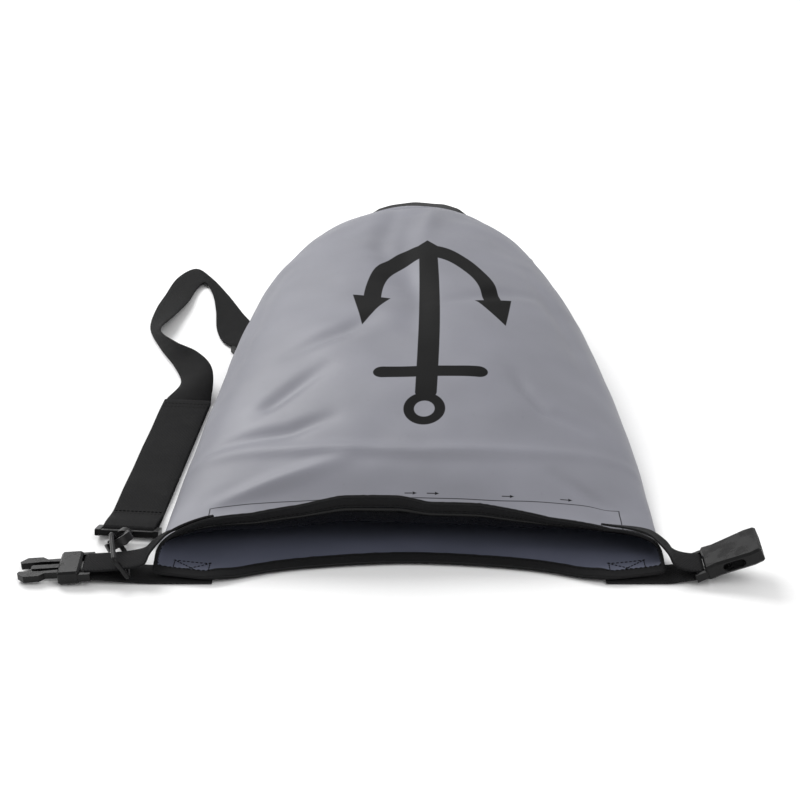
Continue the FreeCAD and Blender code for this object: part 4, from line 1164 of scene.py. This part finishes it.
def make_base():
    """A slack black disc across the end of the tube, with a welded flange round it."""
    ring = rim_line()
    middle = sum(ring, Vector()) / len(ring)
    normal = Vector((0, -math.sin(math.radians(11.5)), math.cos(math.radians(11.5))))
    levels = 22
    points, faces = [], []
    for side in (0, 1):
        for k in range(levels):
            share = (k + 1) / levels
            for p in ring:
                flat = middle + (p - middle) * (share * 0.972)
                sag = 0.0035 * (1 - share**2) + 0.0008 * noise.noise(flat * 35.0) * (1 - share**6)
                points.append(flat - normal * (sag + 0.0022 - side * 0.0008))
        centre = middle - normal * (0.0035 + 0.0022 - side * 0.0008)
        points.append(centre)
    count = len(ring)
    shell = levels * count + 1
    for side in (0, 1):
        base = side * shell
        for j in range(count):
            k = (j + 1) % count
            fan = (base + shell - 1, base + k, base + j)
            faces.append(fan if side == 0 else fan[::-1])
            for i in range(levels - 1):
                near, far = base + i * count, base + (i + 1) * count
                quad = (near + j, near + k, far + k, far + j)
                faces.append(quad if side == 0 else quad[::-1])
    for j in range(count):
        k = (j + 1) % count
        low = (levels - 1) * count
        faces.append((low + j, low + k, shell + low + k, shell + low + j))
    uv = [[(points[p].x, points[p].y) for p in face] for face in faces]
    disc = face_outwards(mesh_piece("base_disc_cloth", points, faces, uv, [FINISHES["base_cloth"]]))
    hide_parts("base_disc")
    sections = []
    for j, p in enumerate(ring + ring[:1]):
        before, after = ring[(j - 1) % count], ring[(j + 1) % count]
        shown = min(max((p.x + 0.040) / 0.014, 0.0), 1.0) * min(max((0.062 - p.x) / 0.014, 0.0), 1.0)
        proud = (0.0052 + 0.0010 * noise.noise(p * 60.0)) * shown * (1.0 if p.y > middle.y else 0.0) - 0.0012
        inner = []
        for row in (-3, -2, -1):
            outwards = Vector(NORMAL[row, j % count])
            inner.append(Vector(OUTER[row, j % count]) - outwards * (FABRIC + 0.0003))
        down = Vector(NORMAL[-1, j % count])
        face = inner[2]
        rising = ((face - inner[0]).normalized() * 0.45 + Vector((0, 0, 0.9)) * shown).normalized()
        sections.append([
            inner[0],
            inner[0] - down * 0.0009,
            inner[1] - down * 0.0009,
            face + rising * proud - down * 0.0009,
            face + rising * (proud + 0.0006) - down * 0.0004,
            face + rising * proud,
            inner[1],
        ])
    along = [0.0, 0.001, 0.005, 0.010, 0.011, 0.012, 0.017, 0.021]
    rim = swept("base_flange", sections, along, FINISHES["base_cloth"], caps=False)
    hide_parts("base_rim")
    return disc


def make_seam_tape():
    """Welded tape along the inside of the tube, underneath."""
    x0, x1 = 0.0053, 0.0233
    sections = []
    for k in range(61):
        distance = 0.060 + 0.231 * k / 60
        upper, lower = [], []
        for i in range(5):
            x = x0 + (x1 - x0) * i / 4
            point, normal = tube_at(turn_for(x, True), distance)
            face = point - normal * (FABRIC + 0.0001)
            upper.append(face)
            lower.append(face - normal * (0.0002 if i in (0, 4) else 0.0005))
        sections.append(upper + lower[::-1])
    tape = swept("inner_seam_tape", sections, closed_lengths(sections[0]), FINISHES["seam_tape"])
    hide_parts("seam_tape")
    return tape


# ---- moulded parts carried over --------------------------------------------------------

CARRIED_OVER = {
    "buckle_female": "buckle",
    "buckle_male": "buckle",
    "buckle_prong_near": "buckle",
    "buckle_prong_far": "buckle",
    "strap_slider": "buckle",
    "strap_ring": "ring",
    "hook_body": "hook",
    "hook_gate": "hook",
    "hook_eye": "hook",
    "hook_pin": "steel",
    "hook_gate_spring": "steel",
}


def finish_carried_over():
    for node, material in CARRIED_OVER.items():
        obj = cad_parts[node]
        obj.data.materials.clear()
        obj.data.materials.append(FINISHES[material])


make_camera()
make_studio(FINISHES["floor"])
make_tube()
make_lips()
corner_webbing("left_corner_webbing", -1, LEFT_BAR, "left_webbing")
corner_webbing("right_corner_webbing", 1, RIGHT_BAR, "right_webbing")
box_stitches("left_box_stitch", -1, "left_box_stitches")
box_stitches("right_box_stitch", 1, "right_box_stitches")
make_strap_end()
make_strap_loop()
make_strap_patch()
make_base()
make_seam_tape()
finish_carried_over()
